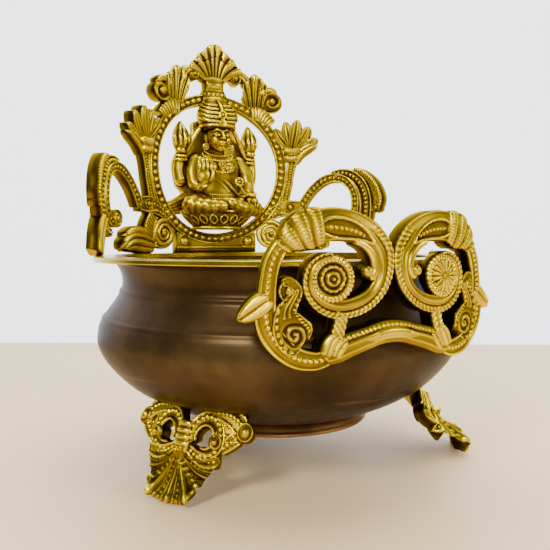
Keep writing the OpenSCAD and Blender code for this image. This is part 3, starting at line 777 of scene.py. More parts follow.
def frontScroll(s):
    # a broad arm that runs from the collar round a knurled boss, and a small volute inside it

    def armRelief(t, d, w):
        # domed; a beaded drop between two lines near the collar, then a line and a notched outer edge
        h = 2.3 * np.sqrt(np.clip(1 - (0.96 * d) ** 2, 0, 1)) + border(d, w, 1.0, 0.5)
        x = np.clip((t - 2) / 27, 0, 1)
        wide = 4.1 * np.sin(np.pi * x**0.62) ** 0.8
        off = (d - 0.12 - 0.25 * x) * w
        drop = (t > 2) * (t < 29)
        h = h + drop * (0.9 * np.exp(-((np.abs(off) - wide) / 0.5) ** 2) - 0.7 * (np.abs(off) < wide - 0.5))
        h = h + beads(t, off, 2.3, 0.95) * (t > 5) * (t < 23)
        late = np.clip((t - 24) / 5, 0, 1)
        notch = np.abs(np.sin(np.pi * (t + 0.5 * d * w) / 2.0)) ** 0.6
        h = h + late * (1.0 * notch * (d < -0.3) - 0.6 * np.exp(-(((d + 0.26) * w) / 0.45) ** 2))
        return h + late * 0.7 * np.exp(-(((d - 0.3) * w) / 0.7) ** 2)

    def rosette(r, a):
        # the right boss is cut with rays, the left one with rings and a few short nicks
        rays = np.abs(np.sin(8 * a)) ** 0.5 * np.clip((r - 0.18) / 0.2, 0, 1)
        rings = 0.5 * np.cos(r * 19) + 0.25 * np.cos(14 * a) * np.exp(-((r - 0.72) / 0.08) ** 2)
        dome = 1.6 * np.sqrt(np.clip(1 - (0.9 * r) ** 2, 0, 1))
        return dome + (1.0 * rays if s > 0 else rings) + 0.9 * np.exp(-(r / 0.15) ** 2)
    hubU, hubZ = scrollPaths["hub"]
    b = np.linspace(0, 2 * np.pi, 49)
    knurl = np.column_stack([hubU + 8.2 * np.cos(b), hubZ + 8.2 * np.sin(b), np.full(49, 3.4)])

    def collarRelief(t, d, w):
        # three swollen rings side by side, each with fine lines across
        h = 2.7 * np.sqrt(np.clip(1 - (0.95 * d) ** 2, 0, 1)) + 1.2 * np.abs(np.sin(np.pi * t / 6.2)) ** 0.5
        return h + 0.3 * np.abs(np.sin(np.pi * d * w / 1.5)) * (np.abs(np.sin(np.pi * t / 6.2)) > 0.5)
    shapes = [
        band(scrollPaths["arm"], armRelief, ends=(0, 2)),
        band(scrollPaths["volute"], plainBand(1.8), lift=0.9, ends=(1.5, 1.2)),
        disc(12.6, -4.4, 2.9, ringDisc(0.2, 0.85, 2.4), lift=0.9),
        disc(hubU, hubZ, 7.4, rosette, lift=1.0, cols=112),
        band(knurl, ribBand(1.72, 1.2, 0, 1.2), lift=0.5, ring=True, back=-3)]
    shapes.append(band(scrollPaths["collar"], collarRelief, ends=(1.5, 1.5), lift=-0.4))
    return sidePiece(s, "frontScroll", "front_scroll", shapes, onScroll)


framePaths = {
    "outer": [[45.5, 10.5, 6], [49.6, 6, 6.8], [53, 0, 7.2], [54.6, -7, 7.2], [55.2, -14, 7.8],
              [55.6, -21, 9.6], [53.4, -28.5, 10], [48.8, -34.4, 9.6], [43, -38.2, 9], [36, -39.6, 8],
              [30.5, -38.6, 7]],
    "bird": [[50.2, -8.4, 3], [46.6, -8.0, 4.6], [43.8, -11.4, 5.4], [45.6, -15.4, 6.4], [47.6, -19.6, 9.5],
             [46.6, -25, 14.5], [43.6, -30, 16.5], [39.6, -33.5, 12]]}


def frontFrame(s):
    # a beaded frame, a curled body against its inside and a pointed ear outside

    def birdRelief(t, d, w):
        # a flat body between two beaded lines, with a curl engraved where it is widest
        h = 1.9 + border(d, w, 1.0, 0.6) + beads(t, (np.abs(d) - 0.72) * w, 2.2, 0.8) * (t > 9)
        r = np.hypot(t - 27.5, d * w * 1.05)
        a = np.arctan2(d * w, t - 27.5)
        curl = (np.mod(a / (2 * np.pi) * s + r / 3.1, 1) - 0.5) * 3.1
        inside = np.clip((6.0 - r) / 0.8, 0, 1)
        h = h + inside * (0.9 * np.exp(-(curl / 0.75) ** 2) - 0.4)
        return h + 0.8 * np.exp(-(((np.abs(d) - 0.2) * w) / 0.5) ** 2) * (t > 8) * (t < 20)
    shapes = [
        band(framePaths["outer"], mixBand([0.05], 1.3, 1.1, 1.1, 2.3, 0.95)),
        band(framePaths["bird"], birdRelief, ends=(1.5, 3), lift=-0.2),
        disc(46.2, -11.6, 5.0, ringDisc(1.1, 0.42, 1.9, 14), lift=0.7),
        band([[53.6, -14, 7], [57.4, -16.6, 10], [61.4, -19.4, 9], [64.6, -21.4, 6], [67, -22.8, 2.6]],
             fluteBand(2, 1.3, 1.2), ends=(1.5, 2.5), lift=0.1)]
    return sidePiece(s, "frontFrame", "front_frame", shapes, onScroll)


barPath = {
    "half": [[0, -29.4, 10], [6, -30, 9.8], [12, -31.6, 9.8], [20, -33.8, 10.4], [26, -36, 10.6],
             [31.5, -37.6, 9]]}


def frontBar():
    # a bar over both halves, with a twisted link and two leaves at each end
    path = [[-u, z, w] for u, z, w in barPath["half"][:0:-1]] + barPath["half"]

    def relief(t, d, w):
        # domed, beads along the top, a raised leaf shape in the middle that thins to a line towards both ends
        middle = t - t.max() / 2
        h = 2.0 * np.sqrt(np.clip(1 - (0.95 * d) ** 2, 0, 1)) + beads(t, (d - 0.62) * w, 2.0, 0.85)
        h = (h - 0.5 * np.exp(-(((d - 0.34) * w) / 0.4) ** 2)
             + 0.6 * np.exp(-(((d - 0.1) * w) / 0.5) ** 2) * (np.abs(middle) > 8))
        leaf = np.sqrt(np.clip(1 - (middle / 14) ** 2 - ((d + 0.05) * w / 2.4) ** 2, 0, 1))
        return h + 0.9 * leaf + 0.5 * np.exp(-(((d + 0.5) * w) / 0.6) ** 2)
    shapes = [band(path, relief)]
    for s in (-1, 1):
        part = [band([[24.4, -20.5, 7], [25.2, -26, 6], [27.2, -32, 7]], ribBand(2.4, 0.8, 0.8, 1.0),
                     lift=0.3),
                band([[26, -28.5, 4], [29.6, -32.6, 6.5], [32, -38.5, 6]], fluteBand(2, 0.9, 1.6), lift=0.8,
                     ends=(2, 2)),
                band([[22, -31, 4], [25, -34.5, 6.5], [28, -39.4, 5]], fluteBand(2, 0.9, 1.4), lift=0.5,
                     ends=(2, 2))]
        shapes += part if s > 0 else mirrored(part)
    return makePiece("frontBar", shapes, onScroll, ["front_bar"])


for side in (-1, 1):
    frontScroll(side)
    frontFrame(side)
frontBar()
print("front scroll made")


# legs
# height and reach of a leg's outer face: the front left leg stands more upright than the other two
splayedFace = np.array([[0, 97.5], [2, 100], [6, 104.5], [7.4, 103.4], [11.2, 96.3], [15.2, 89.8],
                        [20, 87.4],
                        [25, 84.9], [30, 83.3], [33, 81.6], [38, 78]], float)
uprightFace = np.array([[0, 92.5], [1.4, 94.6], [3.4, 95.2], [5.6, 93.8], [10, 90.8], [14.6, 88.6],
                        [19, 87.0],
                        [24, 85.4], [29, 83.6], [33.5, 81.0], [38, 77.6]], float)


def onLeg(turn, table, tall):
    def place(g):
        # height gives the reach of the leg's outer face; relief stands square to its slope
        u, z, h = g[..., 0], g[..., 1] * tall, g[..., 2]
        face = np.interp(z, table[:, 0], table[:, 1])
        slope = (np.interp(z + 2, table[:, 0],
                           table[:, 1]) - np.interp(z - 2, table[:, 0], table[:, 1])) / 4
        n = np.sqrt(1 + slope**2)
        r = face + h / n
        up = np.maximum(z - h * slope / n, 0)
        a = turn + u / 88
        return np.stack([r * np.sin(a), axisY - r * np.cos(a), up], -1)
    return place


toeFan = {"sectors": 6, "top": 24.0, "spread": math.radians(80), "root": 2.5, "gather": 0.4,
          "strong": (2, 4), "beaded": (1, 4), "floor": -1.1}


def palmette():
    # outline of the fan as reach against angle from straight down, about a point under the waist;
    # the ridges start close together at the waist and swing outwards like tusks
    turnAt = np.radians([0, 15, 25, 38, 49, 63, 76, 92])
    reachAt = np.array([23.6, 24.2, 24.0, 21.7, 19.8, 20.1, 21.2, 17.5])
    sectors, top, spread = toeFan["sectors"], toeFan["top"], toeFan["spread"]
    n, rows = sectors * 20, 46
    gX, gA = np.meshgrid(np.linspace(0, 1, rows), np.linspace(-1, 1, n + 1), indexing="ij")
    far = np.interp(np.abs(gA) * spread, turnAt, reachAt)
    rad = toeFan["root"] + (far - toeFan["root"]) * gX
    swing = toeFan["gather"] + (1 - toeFan["gather"]) * gX**0.8
    f = (gA + 1) / 2 * sectors
    wide = (2 * spread / sectors) * rad * swing
    h = np.full(gX.shape, toeFan["floor"])
    for k in range(sectors + 1):
        strong = k in toeFan["strong"]
        h = h + (2.3 if strong else 1.2) * np.exp(-(((f - k) * wide) / (1.35 if strong else 0.7)) ** 2)
    off = (f % 1 - 0.5) * wide
    cell = np.floor(f).astype(int)
    outer = np.isin(cell, toeFan["beaded"])
    h = h + beads(rad, off, 2.7, 1.15) * (rad > 8) * outer
    h = h + 0.7 * np.exp(-((np.abs(off) - wide * 0.2) / 0.35) ** 2) * (rad > 7) * ~outer
    h = h + beads(rad, off, 2.0, 0.7) * (rad > 9) * ~outer
    h = h + 1.8 * np.exp(-((gX - 0.93) / 0.075) ** 2) * (np.abs(gA) < 0.55)
    ang = gA * spread * swing
    front = np.stack([rad * np.sin(ang), np.maximum(top - rad * np.cos(ang), 0.4), h], -1)
    return closedTube(front, np.maximum(wearAndShadeFrom(h, 5, 0.6), 0.24), -7)


legEye = {"at": 11.5, "height": 27.8, "start": math.radians(205), "end": math.radians(-120)}


def leg(name, turn, node, table, tall):
    # a fan-shaped toe, a ribbed waist, and on each side an arched band round an eye with a shoulder beside it
    eye, high = legEye["at"], legEye["height"]
    shapes = [palmette(),
              band([[0, 33.4, 7.5], [0, 29, 7.6], [0, 25.4, 8.2], [0, 22.2, 9.0]],
                   ribBand(2.7, 1.2, 0, 0.9), back=-7,
                   lift=-1.2),
              band([[0, 23.4, 8.4], [0, 20.4, 7.4], [0, 17, 6.4]], fluteBand(3, 1.5, 0.8), back=-7,
                   lift=-1.6, ends=(0, 3))]
    for s in (-1, 1):
        a = np.linspace(legEye["start"], legEye["end"], 26)
        r = np.interp(np.arange(26), [0, 18, 25], [7.4, 7.6, 6.6])
        loop = np.column_stack([eye + r * np.cos(a), high + r * np.sin(a),
                                np.interp(np.arange(26), [0, 12, 25], [6.2, 6.6, 5.6])])
        part = [
            band(loop, mixBand([0.25], 1.2, 1.0, 0.2, 2.3, 0.95, (-0.45,)), back=-7, ends=(1, 2),
                 lift=-1.6),
            band([[3.6, 22.8, 4], [8, 20.2, 5.2], [13.5, 18.4, 6.2], [19.6, 18.6, 5]],
                 mixBand([0], 1.2, 1.2, 0.2, 2.2, 0.95), back=-7, ends=(1, 0.8), lift=-1.5),
            band([[17, 32, 9], [23.5, 31.5, 11], [29, 31, 9]],
                 mixBand([-0.4, 0.35], 1.0, 0.8, 0.3, 2.3, 0.9), back=-7, lift=-2.2),
            disc(eye + 6.0, high - 1.6, 3.5, spiralDisc(1.1, 1.2, s, 0.42, 2.4), back=-7, lift=-0.7),
            band([[14, 37.4, 5], [20, 37.2, 6.4], [26, 35.4, 8], [30.4, 32.4, 9]],
                 mixBand([0.2], 1.3, 1.1, 0.4, 2.2, 0.9), back=-7,
                 lift=-1.6, ends=(1, 2)),
            band([[20, 23, 5], [24.5, 26.4, 6.5], [29, 29.6, 7]], mixBand([0], 1.2, 1.0, 0.4, 2.2, 0.9),
                 back=-7, lift=-1.8,
                 ends=(1, 2)),
            disc(31.6, 31, 4.2, ringDisc(0.7, 0.55, 2.2), back=-7, lift=-1.1)]
        shapes += part if s > 0 else mirrored(part)
    return makePiece(name, shapes, onLeg(turn, table, tall), [node])


leg("legFrontLeft", math.radians(-58), "leg_front_left", uprightFace, 1.0)
leg("legFrontRight", math.radians(60), "leg_front_right", splayedFace, 0.9)
leg("legBack", math.radians(180), "leg_back", splayedFace, 0.9)
print("legs made")


# seated figure: round shapes in (u, z, h), h forward from the panel's face
def onFigure(g):
    lean = math.radians(panel["lean"])
    u, z, out = g[..., 0], g[..., 1], -g[..., 2]
    return np.stack([u, axisY + faceY + out * math.cos(lean) + z * math.sin(lean),
                     rimZ - out * math.sin(lean) + z * math.cos(lean)], -1)


def ball(c, r, cols=20, rows=12, wearAndShade=0.5):
    # an ellipsoid with radii r
    t = np.linspace(0.08, np.pi - 0.08, rows)
    a = np.linspace(0, 2 * np.pi, cols, endpoint=False)
    gT, gA = np.meshgrid(t, a, indexing="ij")
    grid = np.stack([c[0] + r[0] * np.sin(gT) * np.cos(gA), c[1] + r[1] * np.cos(gT),
                     c[2] + r[2] * np.sin(gT) * np.sin(gA)], -1)
    return grid, np.full(gT.shape, wearAndShade)


def tube(points, cols=18, step=0.9, ribs=0, ribDeep=0.0, flat=1.0, wearAndShade=0.5, closed=False):
    # a round section of the path's own radius carried along a path in space, with rounded ends
    p = np.asarray(points, float)
    if closed:
        p = np.vstack([p, p[:1]])
    n = max(int(np.linalg.norm(np.diff(p[:, :3], axis=0), axis=1).sum() / step), 4)
    t = np.linspace(0, len(p) - 1, n + 1)
    ext = np.vstack([p[-2] if closed else 2 * p[0] - p[1], p, p[1] if closed else 2 * p[-1] - p[-2]])
    i = np.minimum(t.astype(int), len(p) - 2)
    f = (t - i)[:, None]
    a, b, c, d = ext[i], ext[i + 1], ext[i + 2], ext[i + 3]
    q = 0.5 * (2 * b + (c - a) * f + (2 * a - 5 * b + 4 * c - d) * f**2 + (3 * b - a - 3 * c + d) * f**3)
    r = np.maximum(q[:, 3], 0.05)
    run = np.concatenate([[0], np.cumsum(np.linalg.norm(np.diff(q[:, :3], axis=0), axis=1))])
    if ribs:
        r = r * (1 + ribDeep * np.cos(2 * np.pi * run / ribs))
    along = np.gradient(q[:, :3], axis=0)
    along /= np.linalg.norm(along, axis=1)[:, None]
    side = np.cross(along, [0.31, 0.17, 0.94])
    side /= np.linalg.norm(side, axis=1)[:, None]
    other = np.cross(along, side)
    ang = np.linspace(0, 2 * np.pi, cols, endpoint=False)
    offs = (np.cos(ang)[None, :, None] * side[:, None] + flat * np.sin(ang)[None, :, None] * other[:, None])
    if not closed:
        # two more rings at each end close it like a dome
        k = np.array([0.35, 0.8])
        lead = q[0, :3] - along[0] * r[0] * np.sqrt(1 - k[:, None] ** 2)
        tail = q[-1, :3] + along[-1] * r[-1] * np.sqrt(1 - k[::-1, None] ** 2)
        centres = np.vstack([lead, q[:, :3], tail])
        radii = np.concatenate([r[0] * k, r, r[-1] * k[::-1]])
        offs = np.concatenate([offs[:1], offs[:1], offs, offs[-1:], offs[-1:]])
    else:
        centres, radii = q[:, :3], r
    grid = centres[:, None] + offs * radii[:, None, None]
    return grid, np.full(grid.shape[:2], wearAndShade)


def stack(rows, cols=48, wearAndShade=0.5, flute=0, deep=0.0):
    # elliptical slices [z, half width, half depth, middle of depth]
    q, _ = resampleRows(rows)
    a = np.linspace(0, 2 * np.pi, cols, endpoint=False)
    wave = 1 + deep * np.cos(flute * a)[None]
    z = np.repeat(q[:, :1], cols, 1)
    grid = np.stack([q[:, 1:2] * np.cos(a) * wave, z, q[:, 3:4] + q[:, 2:3] * np.sin(a) * wave], -1)
    return grid, np.full(z.shape, wearAndShade)


def resampleRows(rows):
    # the same smooth cubic, with five steps between rows
    p = np.asarray(rows, float)
    t = np.linspace(0, len(p) - 1, (len(p) - 1) * 5 + 1)
    ext = np.vstack([2 * p[0] - p[1], p, 2 * p[-1] - p[-2]])
    i = np.minimum(t.astype(int), len(p) - 2)
    f = (t - i)[:, None]
    a, b, c, d = ext[i], ext[i + 1], ext[i + 2], ext[i + 3]
    return 0.5 * (2 * b + (c - a) * f + (2 * a - 5 * b + 4 * c - d) * f**2
                  + (3 * b - a - 3 * c + d) * f**3), t


def hoop(c, radius, thick, tilt=0.0, cols=10, squash=1.0, wearAndShade=0.7):
    # a small ring facing forwards
    a = np.linspace(0, 2 * np.pi, 17)[:-1]
    pts = np.stack([c[0] + radius * np.cos(a), c[1] + squash * radius * np.sin(a) * math.cos(tilt),
                    c[2] + radius * np.sin(a) * math.sin(tilt), np.full(16, thick)], -1)
    return tube(pts, cols, 0.5, closed=True, wearAndShade=wearAndShade)


def beadRow(points, pitch, radius, wearAndShade=0.95):
    # little balls at even steps along a curve in space
    p = np.asarray(points, float)
    run = np.concatenate([[0], np.cumsum(np.linalg.norm(np.diff(p, axis=0), axis=1))])
    at = np.arange(pitch / 2, run[-1], pitch)
    return [ball([np.interp(s, run, p[:, k]) for k in range(3)], [radius] * 3, 8, 5, wearAndShade) for s in at]


def arcPoints(halfWidth, high, low, front, back, n=40, lean=0.0):
    # a hanging curve from (-halfWidth, high, back) through (0, low, front) to (halfWidth, high, back)
    t = np.linspace(-1, 1, n)
    return np.column_stack([halfWidth * np.sin(t * np.pi / 2),
                            low + (high - low) * np.abs(t) ** 2.1 + lean * t,
                            back + (front - back) * np.cos(t * np.pi / 2)])


def fused(name, shapes, details, voxel, smooth, nodes):
    # welds the shapes into one skin, softens it, then marks ridges and hollows from the skin itself: hollows
    # get dark patina with painted shade, ridges rubbed brass
    rough = makePiece(name + "Rough", shapes, onFigure, [])
    weld = rough.modifiers.new("weld", "REMESH")
    weld.mode = "VOXEL"
    weld.voxel_size = voxel * mm
    soften = rough.modifiers.new("soften", "SMOOTH")
    soften.factor = 0.5
    soften.iterations = smooth
    skin = bpy.data.meshes.new_from_object(rough.evaluated_get(bpy.context.evaluated_depsgraph_get()))
    bpy.data.objects.remove(rough)
    n = len(skin.vertices)
    co = np.empty(n * 3)
    skin.vertices.foreach_get("co", co)
    co = co.reshape(-1, 3) / mm
    normal = np.empty(n * 3)
    skin.vertices.foreach_get("normal", normal)
    edges = np.empty(len(skin.edges) * 2, int)
    skin.edges.foreach_get("vertices", edges)
    e = edges.reshape(-1, 2)
    count = np.bincount(e.ravel(), minlength=n)[:, None]
    blur = co.copy()
    for _ in range(14):
        total = np.column_stack([np.bincount(e[:, 0], blur[e[:, 1], k],
                                             n) + np.bincount(e[:, 1], blur[e[:, 0], k], n)
                                 for k in range(3)])
        blur = 0.5 * blur + 0.5 * total / count
    # painted shade with patina in the hollows: how far each point stands out from the blurred skin
    raised = np.sum((co - blur) * normal.reshape(-1, 3), 1)
    wearAndShade = np.clip(0.46 + 2.6 * raised, 0, 1)
    corners = np.empty(len(skin.loops), int)
    skin.loops.foreach_get("vertex_index", corners)
    start, total = np.empty(len(skin.polygons), int), np.empty(len(skin.polygons), int)
    skin.polygons.foreach_get("loop_start", start)
    skin.polygons.foreach_get("loop_total", total)
    polys, tris = (corners[start[total == k][:, None] + np.arange(k)] for k in (4, 3))
    allPoints, allWearAndShade, quads, allTris, base = [co], [wearAndShade], [polys], [tris], n
    for grid, w in details:
        p, w, q, t = capped(onFigure(grid), w)
        allPoints.append(p)
        allWearAndShade.append(w)
        quads.append(q + base)
        allTris.append(t + base)
        base += len(p)
    return meshObject(name, np.vstack(allPoints), np.vstack(quads), np.vstack(allTris).astype(int), cast,
                      nodes,
                      np.concatenate(allWearAndShade))


def head():
    # an egg-shaped head with plain, even features, two ears and their rings
    shapes = [
        ball((0, 78.4, 7.6), (8.3, 9.2, 7.8), 32, 20), ball((0, 74.6, 9.8), (6.4, 5.8, 6.0), 28, 16),
        ball((0, 70.8, 11.8), (3.4, 2.7, 3.4)),
        tube([[0, 81.6, 14.6, 0.9], [0, 78.6, 16.3, 1.0], [0, 76.6, 17.4, 1.35]], step=0.5),
        tube([[-2.4, 73.5, 14.8, 0.45], [-0.8, 73.9, 15.9, 0.75], [0, 73.65, 16.1, 0.65],
              [0.8, 73.9, 15.9, 0.75],
              [2.4, 73.5, 14.8, 0.45]], step=0.4),
        tube([[-1.9, 72.6, 14.7, 0.5], [0, 72.25, 15.7, 0.9], [1.9, 72.6, 14.7, 0.5]], step=0.4),
        stack([[64, 6.5, 5.5, 3.5], [67, 5.2, 5, 4.2], [70, 4.9, 5, 5.4], [74, 5, 5, 6.5]])]
    shapes += bothSides([
        ball((3.6, 75.6, 12.2), (3.3, 3.6, 2.9)), ball((1.35, 76.2, 16.2), (0.95, 0.8, 1.0)),
        ball((3.6, 79.3, 13.7), (2.25, 1.35, 1.6)),
        tube([[1.5, 79.0, 14.9, 0.3], [3.6, 78.5, 15.2, 0.42], [5.7, 79.2, 13.4, 0.3]], step=0.4),
        tube([[1.2, 81.5, 15.0, 0.45], [3.6, 82.4, 14.6, 0.6], [6.6, 81.2, 11.8, 0.4]], step=0.4),
        ball((8.2, 77.4, 6.0), (1.5, 3.3, 2.2)), hoop((9.3, 71.6, 7.6), 1.8, 0.75, 0.2),
                         ball((9.3, 71.6, 7.8), (0.9,) * 3)])
    return shapes


crownShape = {
    "rows": [[83.5, 9.6, 8.4, 6.6], [85.5, 12, 9.6, 6.0], [89, 13.6, 10.4, 5.2], [93, 14.2, 10.4, 4.6],
             [97, 13.2, 9.4, 3.8], [100.5, 11, 7.6, 2.8], [103.5, 8.6, 5.4, 1.6], [107, 7.4, 4.0, 0.6]]}


def crown():
    # a swelling cap with layers of folds that rise to the sides, and rings down the front
    table = np.array(crownShape["rows"])
    shapes = [stack(crownShape["rows"])]

    def skinPoint(a, z, lift=0.2):
        ru, rh, hc = (np.interp(z, table[:, 0], table[:, k]) for k in (1, 2, 3))
        return [(ru + lift) * math.sin(a), z, hc + (rh + lift) * math.cos(a)]
    flames = []
    for k in range(5):
        z = 87.6 + 2.9 * k
        flames.append(tube([skinPoint(0.22, z) + [0.9], skinPoint(0.7, z + 0.6) + [1.15],
                            skinPoint(1.2, z + 3.0) + [1.1],
                            skinPoint(1.62, z + 6.2, -0.3) + [0.7]], step=0.6))
    rim = [skinPoint(a, 85.4, 0.3) + [1.15] for a in np.linspace(-1.9, 1.9, 15)]
    shapes += bothSides(flames) + [tube(rim, step=0.6)]
    front = skinPoint(0, 92.4)
    shapes += [hoop((0, 92.4, front[2] + 0.3), 2.3, 0.85), ball((0, 92.4, front[2] + 0.5), (1.1, 1.1, 1.0)),
               tube([skinPoint(0, 95.5) + [1.3], skinPoint(0, 99) + [1.2], skinPoint(0, 104) + [0.8]]),
               hoop((0, 86.6, skinPoint(0, 86.6)[2] + 0.4), 1.9, 0.75),
               ball((0, 86.6, skinPoint(0, 86.6)[2] + 0.6), (0.8,) * 3)]
    return shapes


def bodyShapes():
    # the trunk with folds of cloth over it, the flat veil behind, shoulders and raised arms
    shapes = [
        stack([[27, 16, 9.5, 4.2], [32, 16.5, 9.5, 4.4], [37, 15.4, 8.4, 4.4], [42, 14.4, 7.4, 4.2],
               [47, 14.6, 7.4, 4.4],
               [52, 15.6, 8.2, 4.6], [57, 16.6, 8.2, 4.6], [61.5, 17.4, 7.4, 4.0], [64.6, 15.4, 6.2, 3.6],
               [67, 8, 5, 3.8]]),
        tube([[-14, 63.4, 8.6, 1.4], [-7, 57.0, 11.4, 1.7], [1, 50, 10.8, 1.6], [8.6, 43.6, 9.6, 1.5],
              [13.4, 39.5, 8, 1.2]]),
        tube([[-14.6, 60.2, 8.0, 1.2], [-8, 53.4, 10.6, 1.5], [0, 46.6, 10.4, 1.5], [6.6, 41, 9.8, 1.3]])]
    web = np.array([[-28, 45], [-30, 56], [-29, 64], [-22, 76], [-16.5, 82], [-14, 90], [14, 90],
                    [16.5, 82], [22, 76],
                    [29, 64], [30, 56], [28, 45], [14, 33], [-14, 33]], float)
    web, _ = resample(np.column_stack([np.vstack([web, web[:1]]), np.ones(len(web) + 1)]), 1.5)
    web = web[:-1, :2]
    rowsH = np.array([-5.2, -4.8, -1.0, -0.4])
    inset = np.array([0.97, 1, 1, 0.97])
    centre = np.array([0, 60.0])
    grid = np.stack([np.column_stack([centre + (web - centre) * k, np.full(len(web), h)])
                     for k, h in zip(inset, rowsH)])
    shapes.append((grid, np.full(grid.shape[:2], 0.4)))
    shapes += bothSides([
        ball((6.0, 57.0, 9.4), (5.2, 4.8, 4.4)),
        tube([[10.5, 87, 5.5, 1.3], [14.6, 81, 4.2, 1.6], [18.4, 74, 3.0, 1.8], [22.4, 66.5, 2.6, 1.9],
              [25, 60, 2.4, 1.6]]),
        tube([[13.5, 63, 2, 4.6], [20, 56.5, 1.5, 4.2], [25.2, 49.5, 2.0, 4.0]]),
        tube([[25.6, 48.8, 2.2, 4.2], [26.8, 56, 2.0, 3.8], [26.0, 65, 2.6, 3.2]]),
        tube([[22.0, 62.4, 4.9, 0.8], [26.2, 62.0, 5.8, 0.85], [30.0, 62.6, 3.4, 0.8]], step=0.6),
        tube([[22.2, 65.0, 4.9, 0.8], [26.2, 64.6, 5.9, 0.85], [29.8, 65.2, 3.4, 0.8]], step=0.6),
        ball((25.8, 68.6, 3.4), (4.0, 3.0, 3.6))])
    return shapes


def bud(s):
    # a closed flower held in each raised hand
    grid, w = stack([[68.5, 3.2, 3.0, 2.2], [71, 4.9, 4.4, 2.0], [76, 5.7, 5.0, 1.6], [81, 5.2, 4.4, 1.2],
                          [85.5, 3.2, 2.8, 0.9], [89, 0.9, 0.9, 0.6]], 20)
    parts = [(grid + [25.2, 0, 0], w)]
    for a in (-1.1, -0.4, 0.3, 1.0):
        c, sn = math.cos(a), math.sin(a)
        parts.append(tube([[25.2 + 3.0 * sn, 70, 2.0 + 3.0 * c, 1.0],
                           [25.2 + 5.4 * sn, 75.5, 1.8 + 4.9 * c, 1.3],
                           [25.2 + 4.6 * sn, 81, 1.3 + 4.2 * c, 1.1],
                           [25.2 + 1.6 * sn, 86.6, 0.9 + 1.6 * c, 0.7]], step=0.7))
    return parts if s > 0 else mirrored(parts)


def hands():
    # open palm on one side, lowered hand on the other
    shapes = [
        tube([[-15.4, 62, 4.4, 4.8], [-18.6, 54, 6.6, 4.5], [-18.4, 46.5, 8.6, 4.2]]),
        tube([[-18.2, 46, 8.8, 4.2], [-15.6, 44, 12.4, 3.6], [-13.6, 46.6, 15.0, 2.9]]),
        ball((-13.2, 50.6, 15.6), (5.4, 6.0, 2.5)),
        tube([[-9.6, 48.2, 16.4, 1.5], [-8.2, 51.2, 17.2, 1.25], [-8.4, 54.2, 17.2, 0.95]], step=0.6),
        tube([[-18, 45.2, 12, 1.2], [-14, 43.4, 16.2, 1.2], [-10.4, 45.4, 14.5, 1.2]]),
        hoop((-13.2, 50.4, 17.6), 1.7, 0.5),
        tube([[15.4, 62, 4.4, 4.8], [20.2, 54.5, 6.0, 4.5], [21.4, 47, 8.4, 4.1]]),
        tube([[21.4, 46.6, 8.6, 4.1], [20.6, 41, 12.4, 3.6], [21.2, 37.4, 14.6, 2.9]]),
        tube([[17.4, 39.6, 14, 1.2], [20.8, 38.4, 17.4, 1.2], [24.6, 39.6, 14, 1.2]]),
        ball((21.6, 34.8, 15.4), (4.4, 3.4, 2.4)),
        hoop((12.2, 47.6, 14.4), 2.4, 0.95), ball((12.2, 47.6, 14.2), (1.2,) * 3)]
    for k in range(4):
        u = -17.4 + 2.75 * k
        top = 60.8 + (0, 1.0, 1.1, 0.3)[k]
        shapes.append(tube([[u, 53.6, 15.9, 1.5], [u + 0.1, 57.0, 16.4, 1.35], [u + 0.2, top, 15.8, 1.05]],
                           step=0.6))
        v = 18.4 + 2.1 * k
        shapes.append(tube([[v, 33.8, 16.6, 1.2], [v - 0.3, 31.2, 17.2, 1.1],
                            [v - 0.5, 28.8 + 0.4 * k, 16.6, 0.9]], step=0.6))
    return shapes


def legsFolded():
    # crossed legs under cloth with shallow folds
    return [
        tube([[-6, 31, 5, 7.2], [-15, 32.6, 8.6, 7.0], [-20.4, 32.2, 11, 6.2]], ribs=5.2, ribDeep=0.025,
             cols=28, step=0.5),
        tube([[-20, 31.4, 12, 5.6], [-11, 30.4, 17, 5.2], [-2, 30.4, 18.6, 4.0]], ribs=4.6, ribDeep=0.035,
             cols=28, step=0.5),
        tube([[6, 31, 5, 7.2], [17, 31.4, 8.4, 6.8], [25.6, 29.8, 10.4, 5.6]], ribs=5.2, ribDeep=0.025,
             cols=28, step=0.5),
        tube([[25.4, 29.0, 11.4, 5.0], [14, 29.6, 17.2, 4.6], [4, 33.0, 18.6, 3.6]], ribs=4.6, ribDeep=0.03,
             cols=28, step=0.5),
        ball((1.6, 34.2, 18.2), (4.4, 2.2, 2.6)), ball((-23, 30, 10), (4.4, 4.8, 4.4)),
            ball((27, 28.6, 9), (4, 4, 4))]


def figureDetails():
    # bead chains and the small jewels, left as separate balls
    out = []
    out += beadRow(arcPoints(10.8, 67.6, 61.4, 13.2, 4.4), 1.5, 0.78)
    out += beadRow(arcPoints(9.2, 69.2, 65.0, 11.0, 4.4), 1.3, 0.62)
    out += beadRow(arcPoints(12.8, 66.0, 53.4, 14.6, 5.4), 1.6, 0.7)
    out += beadRow(arcPoints(11.4, 41.0, 38.4, 12.4, 4.8), 1.6, 0.85)
    out += beadRow(arcPoints(12.6, 38.6, 35.6, 13.0, 4.8), 1.6, 0.7)
    out += [hoop((0, 58.8, 14.2), 2.0, 0.75), ball((0, 58.8, 14.4), (0.95,) * 3, 12, 8, 1.0)]
    out += beadRow(np.array([[0, 56.4, 14.2], [0, 52.6, 13.2]]), 1.4, 0.7)
    out += beadRow(np.array([[12.6, 45.0, 14.4], [14.6, 41.5, 15.4], [17.2, 38.4, 16.6]]), 1.5, 0.7)
    return out


seatShape = {
    "rows": [[15.4, 16.2, 10.0, 3.4], [17.0, 17.4, 10.8, 3.6], [19.0, 18.6, 11.2, 3.8],
             [22.5, 22.4, 12.4, 4.0], [26.0, 25.8, 13.4, 4.2], [28.0, 26.0, 13.6, 4.2]]}


